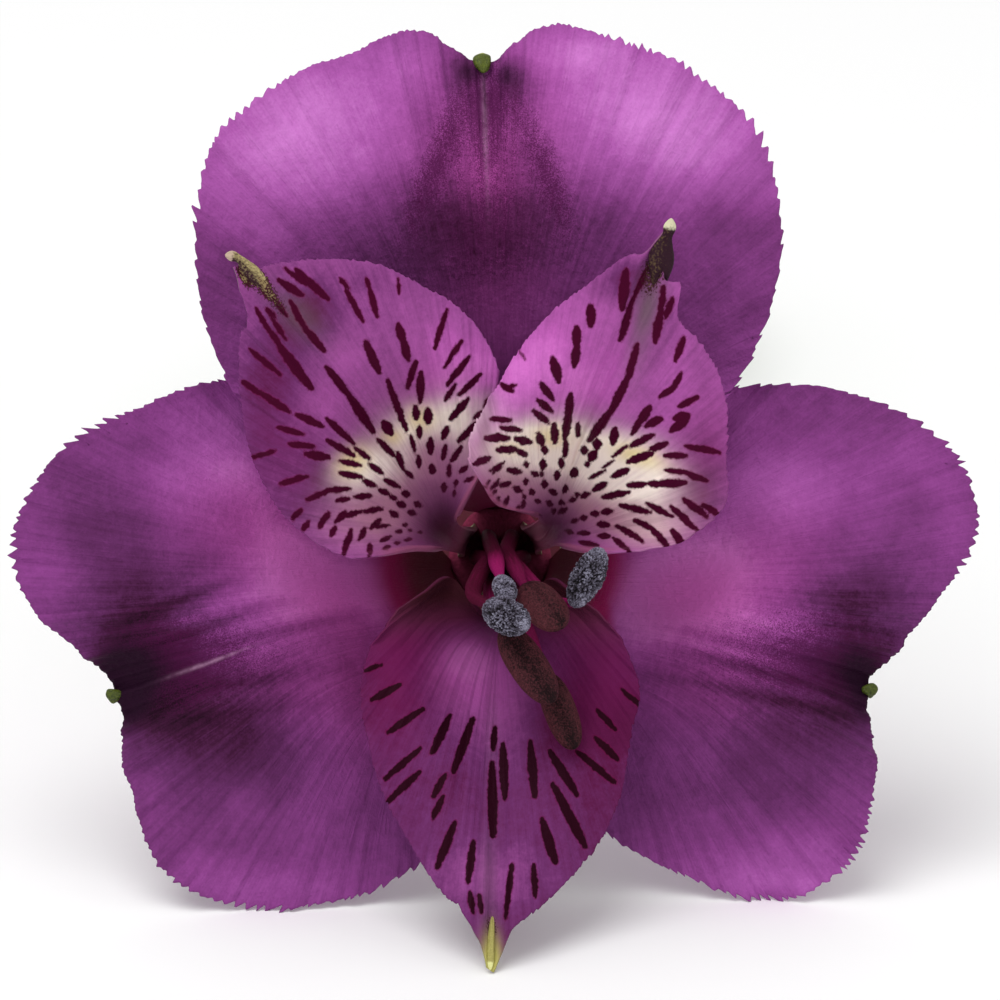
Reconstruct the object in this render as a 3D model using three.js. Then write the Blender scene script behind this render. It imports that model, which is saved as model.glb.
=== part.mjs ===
// A cut alstroemeria: one open bloom with its ovary and pedicel, on a short leafy stem that lies on a
// surface. Millimetres, +Z up. The bloom faces -Y, tipped up, and the stem runs away from it along +Y.
//
// The bloom has a frame of its own: right, up and out, with out along its axis towards whoever looks
// into it. Angles are degrees round that axis, anticlockwise from right.
import * as THREE from "three";

const { clamp, degToRad, lerp } = THREE.MathUtils;

// How the bloom is held: its centre over the surface, and how far its face is tipped up from level.
const BLOOM_HEIGHT = 25.66;
const BLOOM_TILT = degToRad(20);

// The origin: on the surface, under the middle of the whole part. The bloom's centre is in front of it.
const BLOOM_PLACE = new THREE.Vector3(0.3, -74.1, 0);

const TEPAL_THICKNESS = 0.65;
const LEAF_THICKNESS = 0.7;
const CLEARANCE = 0.3;

// The ovary carries everything in the bloom on its flat top.
const OVARY_TOP = -42;
const OVARY_LENGTH = 10.6;
const OVARY_GIRTH = [1.7, 3.0, 4.0, 4.6, 4.7, 4.4];
const OVARY_RIBS = 6;
const OVARY_RIB_HEIGHT = 0.055;
const PETAL_FOOT = OVARY_TOP + CLEARANCE;

// Each whorl of three tepals: where its claws pass, as distance from the axis, half their spread and
// depth; how far their edges stand out of the channel at the throat; where the blade's fan of veins
// starts; how much of its spread the fan still folds in there; and the teeth along the margin.
const OUTER = {
  claws: [
    { radius: 3.9, half: 27, out: PETAL_FOOT },
    { radius: 4.9, half: 40, out: -30 },
    { radius: 8, half: 50, out: -17.5 },
  ],
  channel: 0.5,
  root: 8,
  folded: 0.25,
  teeth: 56,
  toothHeight: 0.45,
  columns: [5, 5, 7, 9, 11, 15, 21, 27, 33, 43, 57],
  colour: 0x9a4a98,
};
const INNER = {
  claws: [
    { radius: 2.9, half: 27, out: PETAL_FOOT },
    { radius: 2.9, half: 20, out: -28 },
    { radius: 4.2, half: 17, out: -13 },
  ],
  channel: 3,
  root: 1.5,
  folded: -0.12,
  teeth: 40,
  toothHeight: 0.18,
  columns: [5, 5, 5, 7, 9, 11, 15, 19, 25, 31, 41],
  colour: 0xa75a98,
};
// Places along a vein where the rows lie: 0.4 is the throat, and the margin's own row at 1 follows.
const ROWS = [0, 0.1, 0.2, 0.3, 0.4, 0.5, 0.6, 0.7, 0.8, 0.9, 0.965];
// The veins of a blade crowd a little towards its tip.
const VEIN_CROWDING = 0.35;

// Every tepal: the angle of its claw; its heart, the point its blade fans from; the angle of its tip and
// its spread to either side; its reach from the heart at even veins across; the point drawn out at its
// tip, with half its spread; and its depth across at one third, at two thirds and at the margin.
const TEPALS = [
  {
    name: "tepal_outer_top", whorl: OUTER, claw: 90, heart: [0, 0], tip: 92, spread: [57, 56],
    reach: [19.6, 29.2, 34.9, 36.9, 37.5, 37.7, 34.9, 37.7, 37.2, 36.9, 35.4, 29.8, 22.4],
    point: [0.6, 2],
    third: [-11, -8, -8.6, -8, -11],
    twoThirds: [-7.5, -3.4, -4, -3.4, -7.5],
    margin: [-6.3, -4.2, -3.2, -6, -3.2, -4.2, -6.3],
  },
  {
    name: "tepal_outer_left", whorl: OUTER, claw: 210, heart: [0, 0], tip: 199.5, spread: [56, 59.5],
    reach: [22.0, 27.0, 32.0, 34.2, 33.4, 30.1, 28.6, 29.8, 31.2, 32.3, 30.1, 26.1, 20.8],
    point: [0.6, 2.2],
    third: [-12.5, -8.6, -8.6, -8.4, -12],
    twoThirds: [-10.5, -4.6, -4.4, -4.6, -9],
    margin: [-9.6, -5.6, -4.4, -7, -5.6, -6.6, -7.6],
  },
  {
    name: "tepal_outer_right", whorl: OUTER, claw: 330, heart: [0, 0], tip: 340.5, spread: [52.5, 59],
    reach: [19.0, 25.4, 31.2, 32.6, 31.3, 29.3, 27.4, 28.8, 31.2, 33.8, 32.2, 26.6, 18.6],
    point: [0.6, 2.2],
    third: [-12, -8.4, -8.6, -8.6, -12.5],
    twoThirds: [-9.5, -5.2, -4.4, -4.6, -10.5],
    margin: [-8.6, -8.3, -6.4, -7, -4.4, -5.6, -9.6],
  },
  {
    name: "tepal_inner_left", whorl: INNER, claw: 154, heart: [-2.66, 1.75], tip: 130.2, spread: [53.2, 61.8],
    reach: [11.8, 15.3, 17.6, 20.0, 21.5, 22.8, 23.3, 21.0, 18.7, 16.5, 14.1, 11.3, 7.8],
    point: [2.5, 5],
    third: [-5.5, -4.5, -3.5, -4, -5.5],
    twoThirds: [-2.5, 0.8, 2, 1.2, -2.5],
    margin: [-0.6, 1.4, 2.6, 4, 2.2, 1, -1],
  },
  {
    name: "tepal_inner_right", whorl: INNER, claw: 30, heart: [2.45, 1.4], tip: 66.9, spread: [74.4, 64.1],
    reach: [7.0, 13.1, 14.5, 16.5, 17.8, 18.4, 21.0, 19.2, 16.7, 13.7, 10.9, 9.1, 7.1],
    point: [3.4, 7.5],
    third: [-5.5, -4, -3.5, -3, -3.4],
    twoThirds: [-2.5, 1.2, 2.4, 2, 0.2],
    margin: [-1, 1.2, 2.8, 4.6, 3.2, 2.5, 1.8],
  },
  {
    name: "tepal_inner_low", whorl: INNER, claw: 270, heart: [0, 0], tip: 268.7, spread: [62.7, 63.3],
    reach: [8.0, 12.5, 15.2, 18.1, 20.9, 23.9, 26.1, 24.4, 22.1, 19.3, 15.5, 13.0, 7.9],
    point: [2.4, 3.4],
    third: [-7, -5.5, -4.5, -5.5, -7],
    twoThirds: [-4, -0.6, 0.6, -0.6, -4],
    margin: [-2.5, -0.5, 1, 4.3, 1, -0.5, -2.5],
  },
];

// The stamens stand in a ring round the style, and draw in at the neck. Each has the angle of its foot,
// where its filament bends, and its anther from heel to tip, with the anther's width and whether it has
// shed its coat.
const STAMEN_RING = 1.65;
const STAMEN_NECK = 1.3;
const NECK_RISE = 0.4;
const FILAMENT_RADIUS = 0.45;
const STAMENS = [
  {
    foot: 0, bends: [[1.9, -1.0, -5], [3.4, -2.7, -0.6]], heel: [5.2, -3.0, 3.2], tip: [6.95, 0.6, 5.0],
    width: 2.1, open: true,
  },
  {
    foot: 180, bends: [[-1.7, -0.8, -5], [-1.9, -2.3, 1]], heel: [-0.7, -3.1, 5.6], tip: [1.6, -4.6, 7.6],
    width: 2.5, open: true,
  },
  {
    foot: 120, bends: [[-0.7, 0.5, -6], [-0.4, -0.5, -1]], heel: [0.05, -1.3, 3.2], tip: [0.6, -2.7, 5.4],
    width: 1.6, open: true,
  },
  {
    foot: 60, bends: [[1.2, 0.2, -6], [1.4, -0.9, -1]], heel: [1.7, -1.8, 2.2], tip: [4.3, -4.6, 5.2],
    width: 3.1, open: false,
  },
  {
    foot: 240, bends: [[-0.6, -2.2, -6], [-0.3, -3.9, -0.5]], heel: [0.2, -4.7, 3.0], tip: [3.7, -9.9, 4.6],
    width: 2.7, open: false,
  },
  {
    foot: 300, bends: [[0.9, -2.9, -6], [2.2, -6.0, -2.2]], heel: [3.2, -7.9, 0.4], tip: [5.2, -13.2, 1.8],
    width: 2.3, open: false,
  },
];
const STYLE_PATH = [[0, 0, PETAL_FOOT], [0, 0, -28], [0, NECK_RISE, -14], [0.15, 0.2, -9], [0.25, 0, -5.5]];
const STYLE_RADIUS = 0.36;

// The pedicel runs on from the ovary and comes down to the stem, which lies straight on the surface.
const STEM_RADIUS = 2.35;
const PEDICEL_GIRTH = [1.55, 1.4, 1.35, 1.4, 1.7];
const PEDICEL_PATH = [[-0.6, 61, 4.0], [-1.2, 72, 2.6], [-0.6, 82, 2.2], [0, 91.6, STEM_RADIUS]];
const STEM_LINE = [[0, 92], [1.2, 110], [0.6, 130], [-1.6, 150], [-3, 162]];
const STEM_PATH = STEM_LINE.map((place) => [...place, STEM_RADIUS]);
const STEM_GIRTH = [2.0, 2.3, 2.3, 2.3, 2.3];

// Leaves: midribs from foot to tip, full width, roll about the midrib at foot and tip in degrees, and
// the wave of the margin. Half widths run from a narrow foot to a drawn-out tip.
const LEAF_OUTLINE = [0.24, 0.4, 0.8, 1, 0.96, 0.76, 0.44, 0.05];
const LEAF_COLUMNS = 5;
const LEAF_ROWS = 12;
const LEAVES = [
  {
    name: "leaf_whorl_left", width: 11, roll: [0, 0], arch: 0.3, wave: 0,
    midrib: [[-3.7, 95, 2.2], [-6.5, 86, 1], [-13, 75, 0.2], [-20, 63, 0.2], [-25, 52, 0.3], [-27.5, 46, 1.2]],
  },
  {
    name: "leaf_whorl_right", width: 10.5, roll: [0, 0], arch: 0.3, wave: 0,
    midrib: [[3.7, 94, 2.2], [6.8, 84, 1], [13, 73, 0.2], [19, 61, 0.2], [23, 51, 0.3], [24.5, 45, 1.4]],
  },
  {
    name: "leaf_whorl_upper_left", width: 11.5, roll: [0, -22], arch: -0.5, wave: 0.6,
    midrib: [[-1.3, 95, 5.2], [-3, 87, 7.5], [-6, 77, 14], [-9.5, 67, 21], [-12.5, 58, 26], [-15, 50, 29]],
  },
  {
    name: "leaf_whorl_upper_right", width: 11, roll: [0, 18], arch: -0.5, wave: 0.7,
    midrib: [[1.9, 93, 5.4], [3.4, 86, 9.5], [6, 78, 17.5], [9, 70, 24.5], [12, 63, 29], [14, 56, 31]],
  },
  {
    name: "leaf_stem_left", width: 9.5, roll: [0, -18], arch: -0.4, wave: 0.5,
    midrib: [[-3.2, 127, 2.8], [-5, 118, 4.5], [-8.5, 108, 8.5], [-12, 99, 11.5], [-14.5, 91, 12.5], [-16, 84, 12]],
  },
  {
    name: "leaf_stem_right", width: 9.5, roll: [0, 16], arch: -0.4, wave: 0.6,
    midrib: [[2.6, 144, 2.8], [5, 135, 4.5], [8, 125, 8], [11, 116, 11], [13.4, 107, 12], [15, 99, 11]],
  },
];

const LEAF_GREEN = 0x5d7f3a;
const STEM_GREEN = 0x7b9a52;
const FILAMENT_PINK = 0xb0487f;
const POLLEN_GREY = 0x555566;
const ANTHER_BROWN = 0x4a2028;

const toVector = (point) => new THREE.Vector3(...point);

// A point of the bloom's own frame, in the part's frame.
function bloomPoint([right, up, out]) {
  return new THREE.Vector3(
    right,
    up * Math.sin(BLOOM_TILT) - out * Math.cos(BLOOM_TILT),
    BLOOM_HEIGHT + up * Math.cos(BLOOM_TILT) + out * Math.sin(BLOOM_TILT),
  );
}

// Smooth value through evenly spaced ones (Catmull-Rom): place runs from 0 at the first to 1 at the last.
function spline(values, place) {
  const last = values.length - 1;
  const i = clamp(Math.floor(place * last), 0, last - 1);
  const f = place * last - i;
  const here = values[i];
  const next = values[i + 1];
  const before = i > 0 ? values[i - 1] : 2 * here - next;
  const after = i < last - 1 ? values[i + 2] : 2 * next - here;
  const square = 2 * before - 5 * here + 4 * next - after;
  const cube = 3 * (here - next) + after - before;
  return here + 0.5 * f * (next - before + f * (square + f * cube));
}

function splinePoint(points, place) {
  return [0, 1, 2].map((axis) => spline(points.map((point) => point[axis]), place));
}

// A point on a tepal's middle surface. across runs from -1 to 1 between its edges, with 0 on the midrib,
// along from 0 at the claw's foot to 1 at the margin, and extra lengthens the vein at the margin.
function tepalPoint(tepal, across, along, extra = 0) {
  const { whorl, heart } = tepal;
  const place = (across + 1) / 2;
  const claw = whorl.claws.map(({ radius, half, out }, station) => {
    const angle = degToRad(tepal.claw + half * across);
    const lift = station === 2 ? whorl.channel * across * across : 0;
    return [radius * Math.cos(angle), radius * Math.sin(angle), out + lift];
  });
  const side = tepal.spread[across < 0 ? 0 : 1];
  const opening = side * across * (1 - VEIN_CROWDING + VEIN_CROWDING * Math.abs(across));
  const [height, half] = tepal.point;
  const drawnOut = height * Math.pow(Math.max(0, 1 - Math.abs(opening) / half), 1.5);
  const reach = spline(tepal.reach, place);
  const fan = [tepal.third, tepal.twoThirds, tepal.margin].map((depths, index) => {
    const share = (index + 1) / 3;
    const angle = degToRad(tepal.tip + opening * (1 - whorl.folded * (1 - share)));
    const length = lerp(whorl.root, reach, share) + (share === 1 ? drawnOut + extra : 0);
    return [heart[0] + length * Math.cos(angle), heart[1] + length * Math.sin(angle), spline(depths, place)];
  });
  return bloomPoint(splinePoint([...claw, ...fan], along));
}

// A point on a leaf's middle surface. What would pass below the surface lies flat on it.
function leafPoint(leaf, across, along) {
  const step = 0.01;
  const mid = toVector(splinePoint(leaf.midrib, along));
  const forward = toVector(splinePoint(leaf.midrib, along + step)).sub(mid).normalize();
  const sideways = new THREE.Vector3(0, 0, 1).cross(forward).normalize();
  sideways.applyAxisAngle(forward, degToRad(lerp(leaf.roll[0], leaf.roll[1], along)));
  const lift = forward.clone().cross(sideways);
  const half = (leaf.width / 2) * spline(LEAF_OUTLINE, along);
  const bend = -leaf.arch * half * across * across;
  const wave = leaf.wave * across * Math.sin(Math.PI * 4 * along) * (half / leaf.width);
  const point = mid.addScaledVector(sideways, half * across).addScaledVector(lift, bend + wave);
  point.z = Math.max(point.z, LEAF_THICKNESS / 2);
  return point;
}

function evenPlaces(count) {
  return Array.from({ length: count }, (_, index) => (2 * index) / (count - 1) - 1);
}

// Splits the strip between two rows of points into triangles, taking whichever next point lies first.
function stripTriangles(lower, upper) {
  const triangles = [];
  let i = 0;
  let j = 0;
  while (i < lower.length - 1 || j < upper.length - 1) {
    const lowerNext = i < lower.length - 1 ? lower[i + 1].across : Infinity;
    const upperNext = j < upper.length - 1 ? upper[j + 1].across : Infinity;
    if (lowerNext <= upperNext) {
      triangles.push([lower[i].index, lower[i + 1].index, upper[j].index]);
      i += 1;
    } else {
      triangles.push([lower[i].index, upper[j + 1].index, upper[j].index]);
      j += 1;
    }
  }
  return triangles;
}

// A thin blade closed by a rim. Its middle surface is pointAt(across, along, extra), sampled on rows of
// { across, along, extra }. Both faces are split into the same triangles.
function bladeGeometry(pointAt, rows, thickness) {
  const step = 0.002;
  const samples = rows.flat();
  samples.forEach((sample, index) => {
    sample.index = index;
  });
  const front = [];
  const back = [];
  for (const { across, along, extra } of samples) {
    const ahead = Math.min(along + step, 1);
    const right = Math.min(across + step, 1);
    const alongWay = pointAt(across, ahead).sub(pointAt(across, ahead - step));
    const acrossWay = pointAt(right, along).sub(pointAt(right - step, along));
    const offset = acrossWay.cross(alongWay).setLength(thickness / 2);
    const middle = pointAt(across, along, extra);
    front.push(...middle.clone().add(offset).toArray());
    back.push(...middle.clone().sub(offset).toArray());
  }
  const faces = rows.slice(1).flatMap((row, index) => stripTriangles(rows[index], row));
  const sides = rows.map((row) => [row[0], row.at(-1)]);
  const rim = [
    ...rows[0],
    ...sides.slice(1, -1).map((ends) => ends[1]),
    ...rows.at(-1).toReversed(),
    ...sides.slice(1, -1).toReversed().map((ends) => ends[0]),
  ].map((sample) => sample.index);
  const under = samples.length;
  const indices = faces.flatMap(([a, b, c]) => [a, b, c, a + under, c + under, b + under]);
  rim.forEach((here, index) => {
    const next = rim[(index + 1) % rim.length];
    indices.push(next, here, here + under, next, here + under, next + under);
  });
  return meshGeometry([...front, ...back], indices);
}

// A closed limb with rounded or flat ends: rings along a smooth path, each girth(place, turn) wide.
function limbGeometry({ path, rings, sides, girth, side = new THREE.Vector3(1, 0, 0) }) {
  const curve = new THREE.CatmullRomCurve3(path, false, "catmullrom", 0.5);
  const positions = [];
  const indices = [];
  for (let ring = 0; ring <= rings; ring += 1) {
    const place = ring / rings;
    const centre = curve.getPoint(place);
    const forward = curve.getTangent(place);
    const across = side.clone().addScaledVector(forward, -side.dot(forward)).normalize();
    const upright = forward.clone().cross(across);
    for (let k = 0; k < sides; k += 1) {
      const turn = (2 * Math.PI * k) / sides;
      const radius = girth(place, turn);
      const point = centre.clone().addScaledVector(across, radius * Math.cos(turn));
      positions.push(...point.addScaledVector(upright, radius * Math.sin(turn)).toArray());
    }
  }
  const heel = positions.length / 3;
  const toe = heel + 1;
  positions.push(...curve.getPoint(0).toArray(), ...curve.getPoint(1).toArray());
  for (let k = 0; k < sides; k += 1) {
    const next = (k + 1) % sides;
    for (let ring = 0; ring < rings; ring += 1) {
      const low = ring * sides;
      const high = low + sides;
      indices.push(low + k, low + next, high + next, low + k, high + next, high + k);
    }
    indices.push(heel, next, k, toe, rings * sides + k, rings * sides + next);
  }
  return meshGeometry(positions, indices);
}

function meshGeometry(positions, indices) {
  const geometry = new THREE.BufferGeometry();
  geometry.setAttribute("position", new THREE.Float32BufferAttribute(positions, 3));
  geometry.setIndex(indices);
  geometry.computeVertexNormals();
  return geometry;
}

const group = new THREE.Group();

function add(name, geometry, color, roughness = 0.6) {
  const mesh = new THREE.Mesh(geometry, new THREE.MeshStandardMaterial({ color, roughness, metalness: 0 }));
  mesh.name = name;
  group.add(mesh);
}

function addTepal(tepal) {
  const { whorl } = tepal;
  const rows = whorl.columns.map((count, row) =>
    evenPlaces(count).map((across) => ({ across, along: ROWS[row], extra: 0 })),
  );
  const margin = evenPlaces(2 * whorl.teeth + 1).map((across, index) => {
    const tooth = index % 2 === 0 ? -0.7 : 0.3;
    return { across, along: 1, extra: tooth * whorl.toothHeight };
  });
  margin[whorl.teeth].extra = 0;
  const geometry = bladeGeometry((...place) => tepalPoint(tepal, ...place), [...rows, margin], TEPAL_THICKNESS);
  add(tepal.name, geometry, whorl.colour);
}

function addLeaf(leaf) {
  const rows = Array.from({ length: LEAF_ROWS }, (_, row) =>
    evenPlaces(LEAF_COLUMNS).map((across) => ({ across, along: row / (LEAF_ROWS - 1) })),
  );
  add(leaf.name, bladeGeometry((...place) => leafPoint(leaf, ...place), rows, LEAF_THICKNESS), LEAF_GREEN);
}

// A filament from the ovary's top to just short of its anther's heel, and the anther, two long lobes
// side by side with rounded ends.
function addStamen({ foot, bends, heel, tip, width, open }, number) {
  const angle = degToRad(foot);
  const ring = (radius, out, up = 0) => [radius * Math.cos(angle), radius * Math.sin(angle) + up, out];
  const start = bloomPoint(heel);
  const end = bloomPoint(tip);
  const approach = end.clone().sub(start).normalize();
  const stop = start.clone().addScaledVector(approach, -CLEARANCE);
  const base = [ring(STAMEN_RING, PETAL_FOOT), ring(STAMEN_RING, -28), ring(STAMEN_NECK, -14, NECK_RISE)];
  const path = [...[...base, ...bends].map(bloomPoint), stop];
  const filament = limbGeometry({ path, rings: 12, sides: 6, girth: () => FILAMENT_RADIUS });
  add(`filament_${number}`, filament, FILAMENT_PINK);

  const lobes = (place, turn) => {
    const taper = Math.sqrt(Math.max(0, 1 - Math.pow(Math.abs(2 * place - 1), 2.6))) * 0.86 + 0.14;
    const groove = 1 - 0.22 * Math.pow(Math.sin(turn), 2);
    return (width / 2) * taper * groove;
  };
  const anther = limbGeometry({ path: [start, end], rings: 7, sides: 8, girth: lobes });
  add(`anther_${number}`, anther, open ? POLLEN_GREY : ANTHER_BROWN, 0.8);
}

function addPistil() {
  const stigma = (place, turn) => {
    const lobed = clamp((place - 0.85) / 0.15, 0, 1);
    return STYLE_RADIUS * (1 + 0.3 * lobed * Math.cos(3 * turn));
  };
  const path = STYLE_PATH.map(bloomPoint);
  add("pistil", limbGeometry({ path, rings: 16, sides: 6, girth: stigma }), FILAMENT_PINK);
}

function addOvary() {
  const ribbed = (place, turn) =>
    spline(OVARY_GIRTH, place) * (1 + OVARY_RIB_HEIGHT * Math.cos(OVARY_RIBS * turn));
  const path = [bloomPoint([0, 0, OVARY_TOP - OVARY_LENGTH]), bloomPoint([0, 0, OVARY_TOP])];
  add("ovary", limbGeometry({ path, rings: 8, sides: 4 * OVARY_RIBS, girth: ribbed }), STEM_GREEN);
}

function addStem() {
  const neck = bloomPoint([0, 0, OVARY_TOP - OVARY_LENGTH - CLEARANCE]);
  const pedicel = { path: [neck, ...PEDICEL_PATH.map(toVector)], rings: 12, sides: 10 };
  add("pedicel", limbGeometry({ ...pedicel, girth: (place) => spline(PEDICEL_GIRTH, place) }), STEM_GREEN);
  const stem = { path: STEM_PATH.map(toVector), rings: 10, sides: 12 };
  add("stem", limbGeometry({ ...stem, girth: (place) => spline(STEM_GIRTH, place) }), STEM_GREEN);
}

TEPALS.forEach(addTepal);
STAMENS.forEach((stamen, index) => addStamen(stamen, index + 1));
addPistil();
addOvary();
addStem();
LEAVES.forEach(addLeaf);

group.position.copy(BLOOM_PLACE);

export default group;
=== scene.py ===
"""A cut alstroemeria: the looks of its bloom, stem and leaves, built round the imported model.

Lengths in this script are millimetres until a mesh is made. The bloom has a frame of its own: right, up
and out, with out along its axis towards whoever looks into it. The markings are plotted on a plan of the
bloom's face, in fine steps to the right and downwards.
"""

import logging
from collections.abc import Callable, Sequence
from dataclasses import dataclass, field, replace
from enum import Enum

import bpy
import numpy as np
from mathutils import Matrix, Vector


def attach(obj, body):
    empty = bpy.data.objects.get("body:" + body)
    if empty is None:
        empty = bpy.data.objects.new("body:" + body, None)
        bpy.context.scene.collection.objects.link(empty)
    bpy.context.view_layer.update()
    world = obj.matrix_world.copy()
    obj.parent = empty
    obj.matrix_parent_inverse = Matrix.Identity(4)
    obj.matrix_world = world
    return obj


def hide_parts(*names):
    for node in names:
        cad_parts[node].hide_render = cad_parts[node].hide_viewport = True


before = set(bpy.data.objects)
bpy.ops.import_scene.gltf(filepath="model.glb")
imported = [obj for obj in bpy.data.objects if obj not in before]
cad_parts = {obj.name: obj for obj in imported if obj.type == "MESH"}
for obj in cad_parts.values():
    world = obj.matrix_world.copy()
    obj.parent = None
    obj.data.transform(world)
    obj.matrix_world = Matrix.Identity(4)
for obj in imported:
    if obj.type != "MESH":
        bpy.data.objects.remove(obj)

log = logging.getLogger("alstroemeria")

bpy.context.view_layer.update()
BODY = "root"
MILLIMETRE = 0.001

# How the bloom is held: its place on the surface, its centre's height and how far its face is tipped up.
BLOOM_PLACE = np.array([0.3, -74.1, 0.0])
BLOOM_HEIGHT = 25.66
BLOOM_TILT = np.radians(20)

# The gap between pieces that meet; and along the bloom's axis the flat top of the ovary, its length, and
# where what grows from it starts.
CLEARANCE = 0.03
OVARY_TOP = -42.0
OVARY_LENGTH = 10.6
PETAL_FOOT = OVARY_TOP + CLEARANCE

# The plan of the bloom's face: how many steps wide it is, millimetres a step, where the bloom's axis is on
# it, and how far off it is seen from.
PLAN_SPAN = 1000
PLAN_STEP = 0.07
PLAN_AXIS = np.array([500.0, 560.0])
VIEW_DISTANCE = 700.0

# The angle of the claw of the tepal that stands upright.
UPRIGHT = 90.0

Points = np.ndarray
Numbers = np.ndarray
Paint = int | bpy.types.NodeSocket


class Slot(Enum):
    """The record's material slots."""

    OUTER = "outer_tepal"
    INNER = "inner_tepal"
    FILAMENT = "filament"
    POLLEN = "pollen"
    COAT = "anther_coat"
    STYLE = "style"
    STEM = "stem"
    LEAF = "leaf"


class Anther(Enum):
    """Whether an anther still has its coat on or has shed it and shows its pollen."""

    CLOSED = "closed"
    OPEN = "open"


# ---------------------------------------------------------------------------------------------- geometry


def bloom_points(points: Points) -> Points:
    """Takes points of the bloom's own frame to the part's.

    Args:
        points: rows of right, up and out.

    Returns:
        Rows of x, y and z in the part's frame.
    """
    right, up, out = np.asarray(points, float).T
    y = up * np.sin(BLOOM_TILT) - out * np.cos(BLOOM_TILT)
    z = BLOOM_HEIGHT + up * np.cos(BLOOM_TILT) + out * np.sin(BLOOM_TILT)
    return np.stack([right, y, z], 1) + BLOOM_PLACE


def plan_places(points: Points) -> Points:
    """Plots points of the bloom on the plan of its face.

    Args:
        points: rows of right, up and out.

    Returns:
        Rows of steps to the right and downwards.
    """
    nearness = VIEW_DISTANCE / (VIEW_DISTANCE - points[:, 2])
    return PLAN_AXIS + points[:, :2] * [1, -1] * (nearness / PLAN_STEP)[:, None]


def spline(values: Numbers | Sequence, place: Numbers) -> Numbers:
    """Goes smoothly through evenly spaced values (Catmull-Rom).

    Args:
        values: numbers or points, the same for every place, or with a column of their own for each.
        place: where to read them, from 0 at the first to 1 at the last.

    Returns:
        The values there, one for each place.
    """
    values = np.asarray(values, float)
    place = np.asarray(place, float)
    own = values.ndim == 3
    last = len(values) - 1
    i = np.clip(np.floor(place * last).astype(int), 0, last - 1)

    def read(index: Numbers) -> Numbers:
        """Returns the values of these stations."""
        return values[index, np.arange(len(place))] if own else values[index]

    share = place * last - i
    if values.ndim > 1:
        share, i_edge = share[:, None], i[:, None]
    else:
        i_edge = i
    here, following = read(i), read(i + 1)
    before = np.where(i_edge > 0, read(np.maximum(i - 1, 0)), 2 * here - following)
    after = np.where(i_edge < last - 1, read(np.minimum(i + 2, last)), 2 * following - here)
    square = 2 * before - 5 * here + 4 * following - after
    cube = 3 * (here - following) + after - before
    return here + 0.5 * share * (following - before + share * (square + share * cube))


def unit(vectors: Points) -> Points:
    """Returns the vectors at length 1."""
    return vectors / np.linalg.norm(vectors, axis=1, keepdims=True)


def soft_step(low: float, high: float, value: Numbers) -> Numbers:
    """Returns 0 below low and 1 above high, and goes smoothly between them."""
    share = np.clip((value - low) / (high - low), 0, 1)
    return share * share * (3 - 2 * share)


def waves(place: Numbers, count: float, octaves: int, seed: int) -> Numbers:
    """Adds up seeded waves along a line.

    Args:
        place: places along the line, from -1 to 1.
        count: how many of the longest waves it has.
        octaves: how many kinds of wave, each 1.8 times as fine as the last.
        seed: picks their phases.

    Returns:
        A height for each place, mostly between -1 and 1.
    """
    draw = np.random.default_rng(seed)
    total = np.zeros_like(place)
    for octave in range(octaves):
        fineness = 1.8**octave
        phase = draw.uniform(0, 2 * np.pi)
        total += np.sin(np.pi * count * fineness * place + phase) / fineness**0.8
    return total / 1.6


@dataclass
class Skin:
    """A closed mesh being made: its points in the part's millimetres, its faces and what varies over it."""

    points: Points
    faces: list[tuple[int, ...]]
    marks: dict[str, Numbers] = field(default_factory=dict)

    def mark(self, **marks: Numbers) -> "Skin":
        """Records what varies over the mesh, with the places of its points, and returns the mesh."""
        self.marks.update(marks, place=self.points)
        return self

    def piece(self, name: str, slot: Slot, material: bpy.types.Material, *nodes: str) -> None:
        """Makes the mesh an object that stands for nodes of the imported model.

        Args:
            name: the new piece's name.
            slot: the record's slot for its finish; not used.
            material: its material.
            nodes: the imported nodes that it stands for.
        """
        mesh = bpy.data.meshes.new(name)
        resting = np.maximum(self.points, [-np.inf, -np.inf, 0]) * MILLIMETRE
        mesh.from_pydata(resting.tolist(), [], self.faces)
        mesh.shade_smooth()
        for mark, values in self.marks.items():
            kind, reads = ("FLOAT", "value") if values.ndim == 1 else ("FLOAT_VECTOR", "vector")
            layer = mesh.attributes.new(mark, kind, "POINT")
            layer.data.foreach_set(reads, values.astype(np.float32).ravel())
        mesh.materials.append(material)
        mesh.validate()
        piece = bpy.data.objects.new(name, mesh)
        bpy.context.scene.collection.objects.link(piece)
        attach(piece, BODY)
        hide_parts(*nodes)
        log.info("%s: %d faces", name, len(mesh.polygons))


@dataclass(frozen=True)
class Band:
    """Rows of a blade that have the same number of columns: where the last one lies, how many, how wide."""

    end: float
    rows: int
    columns: int


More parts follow.
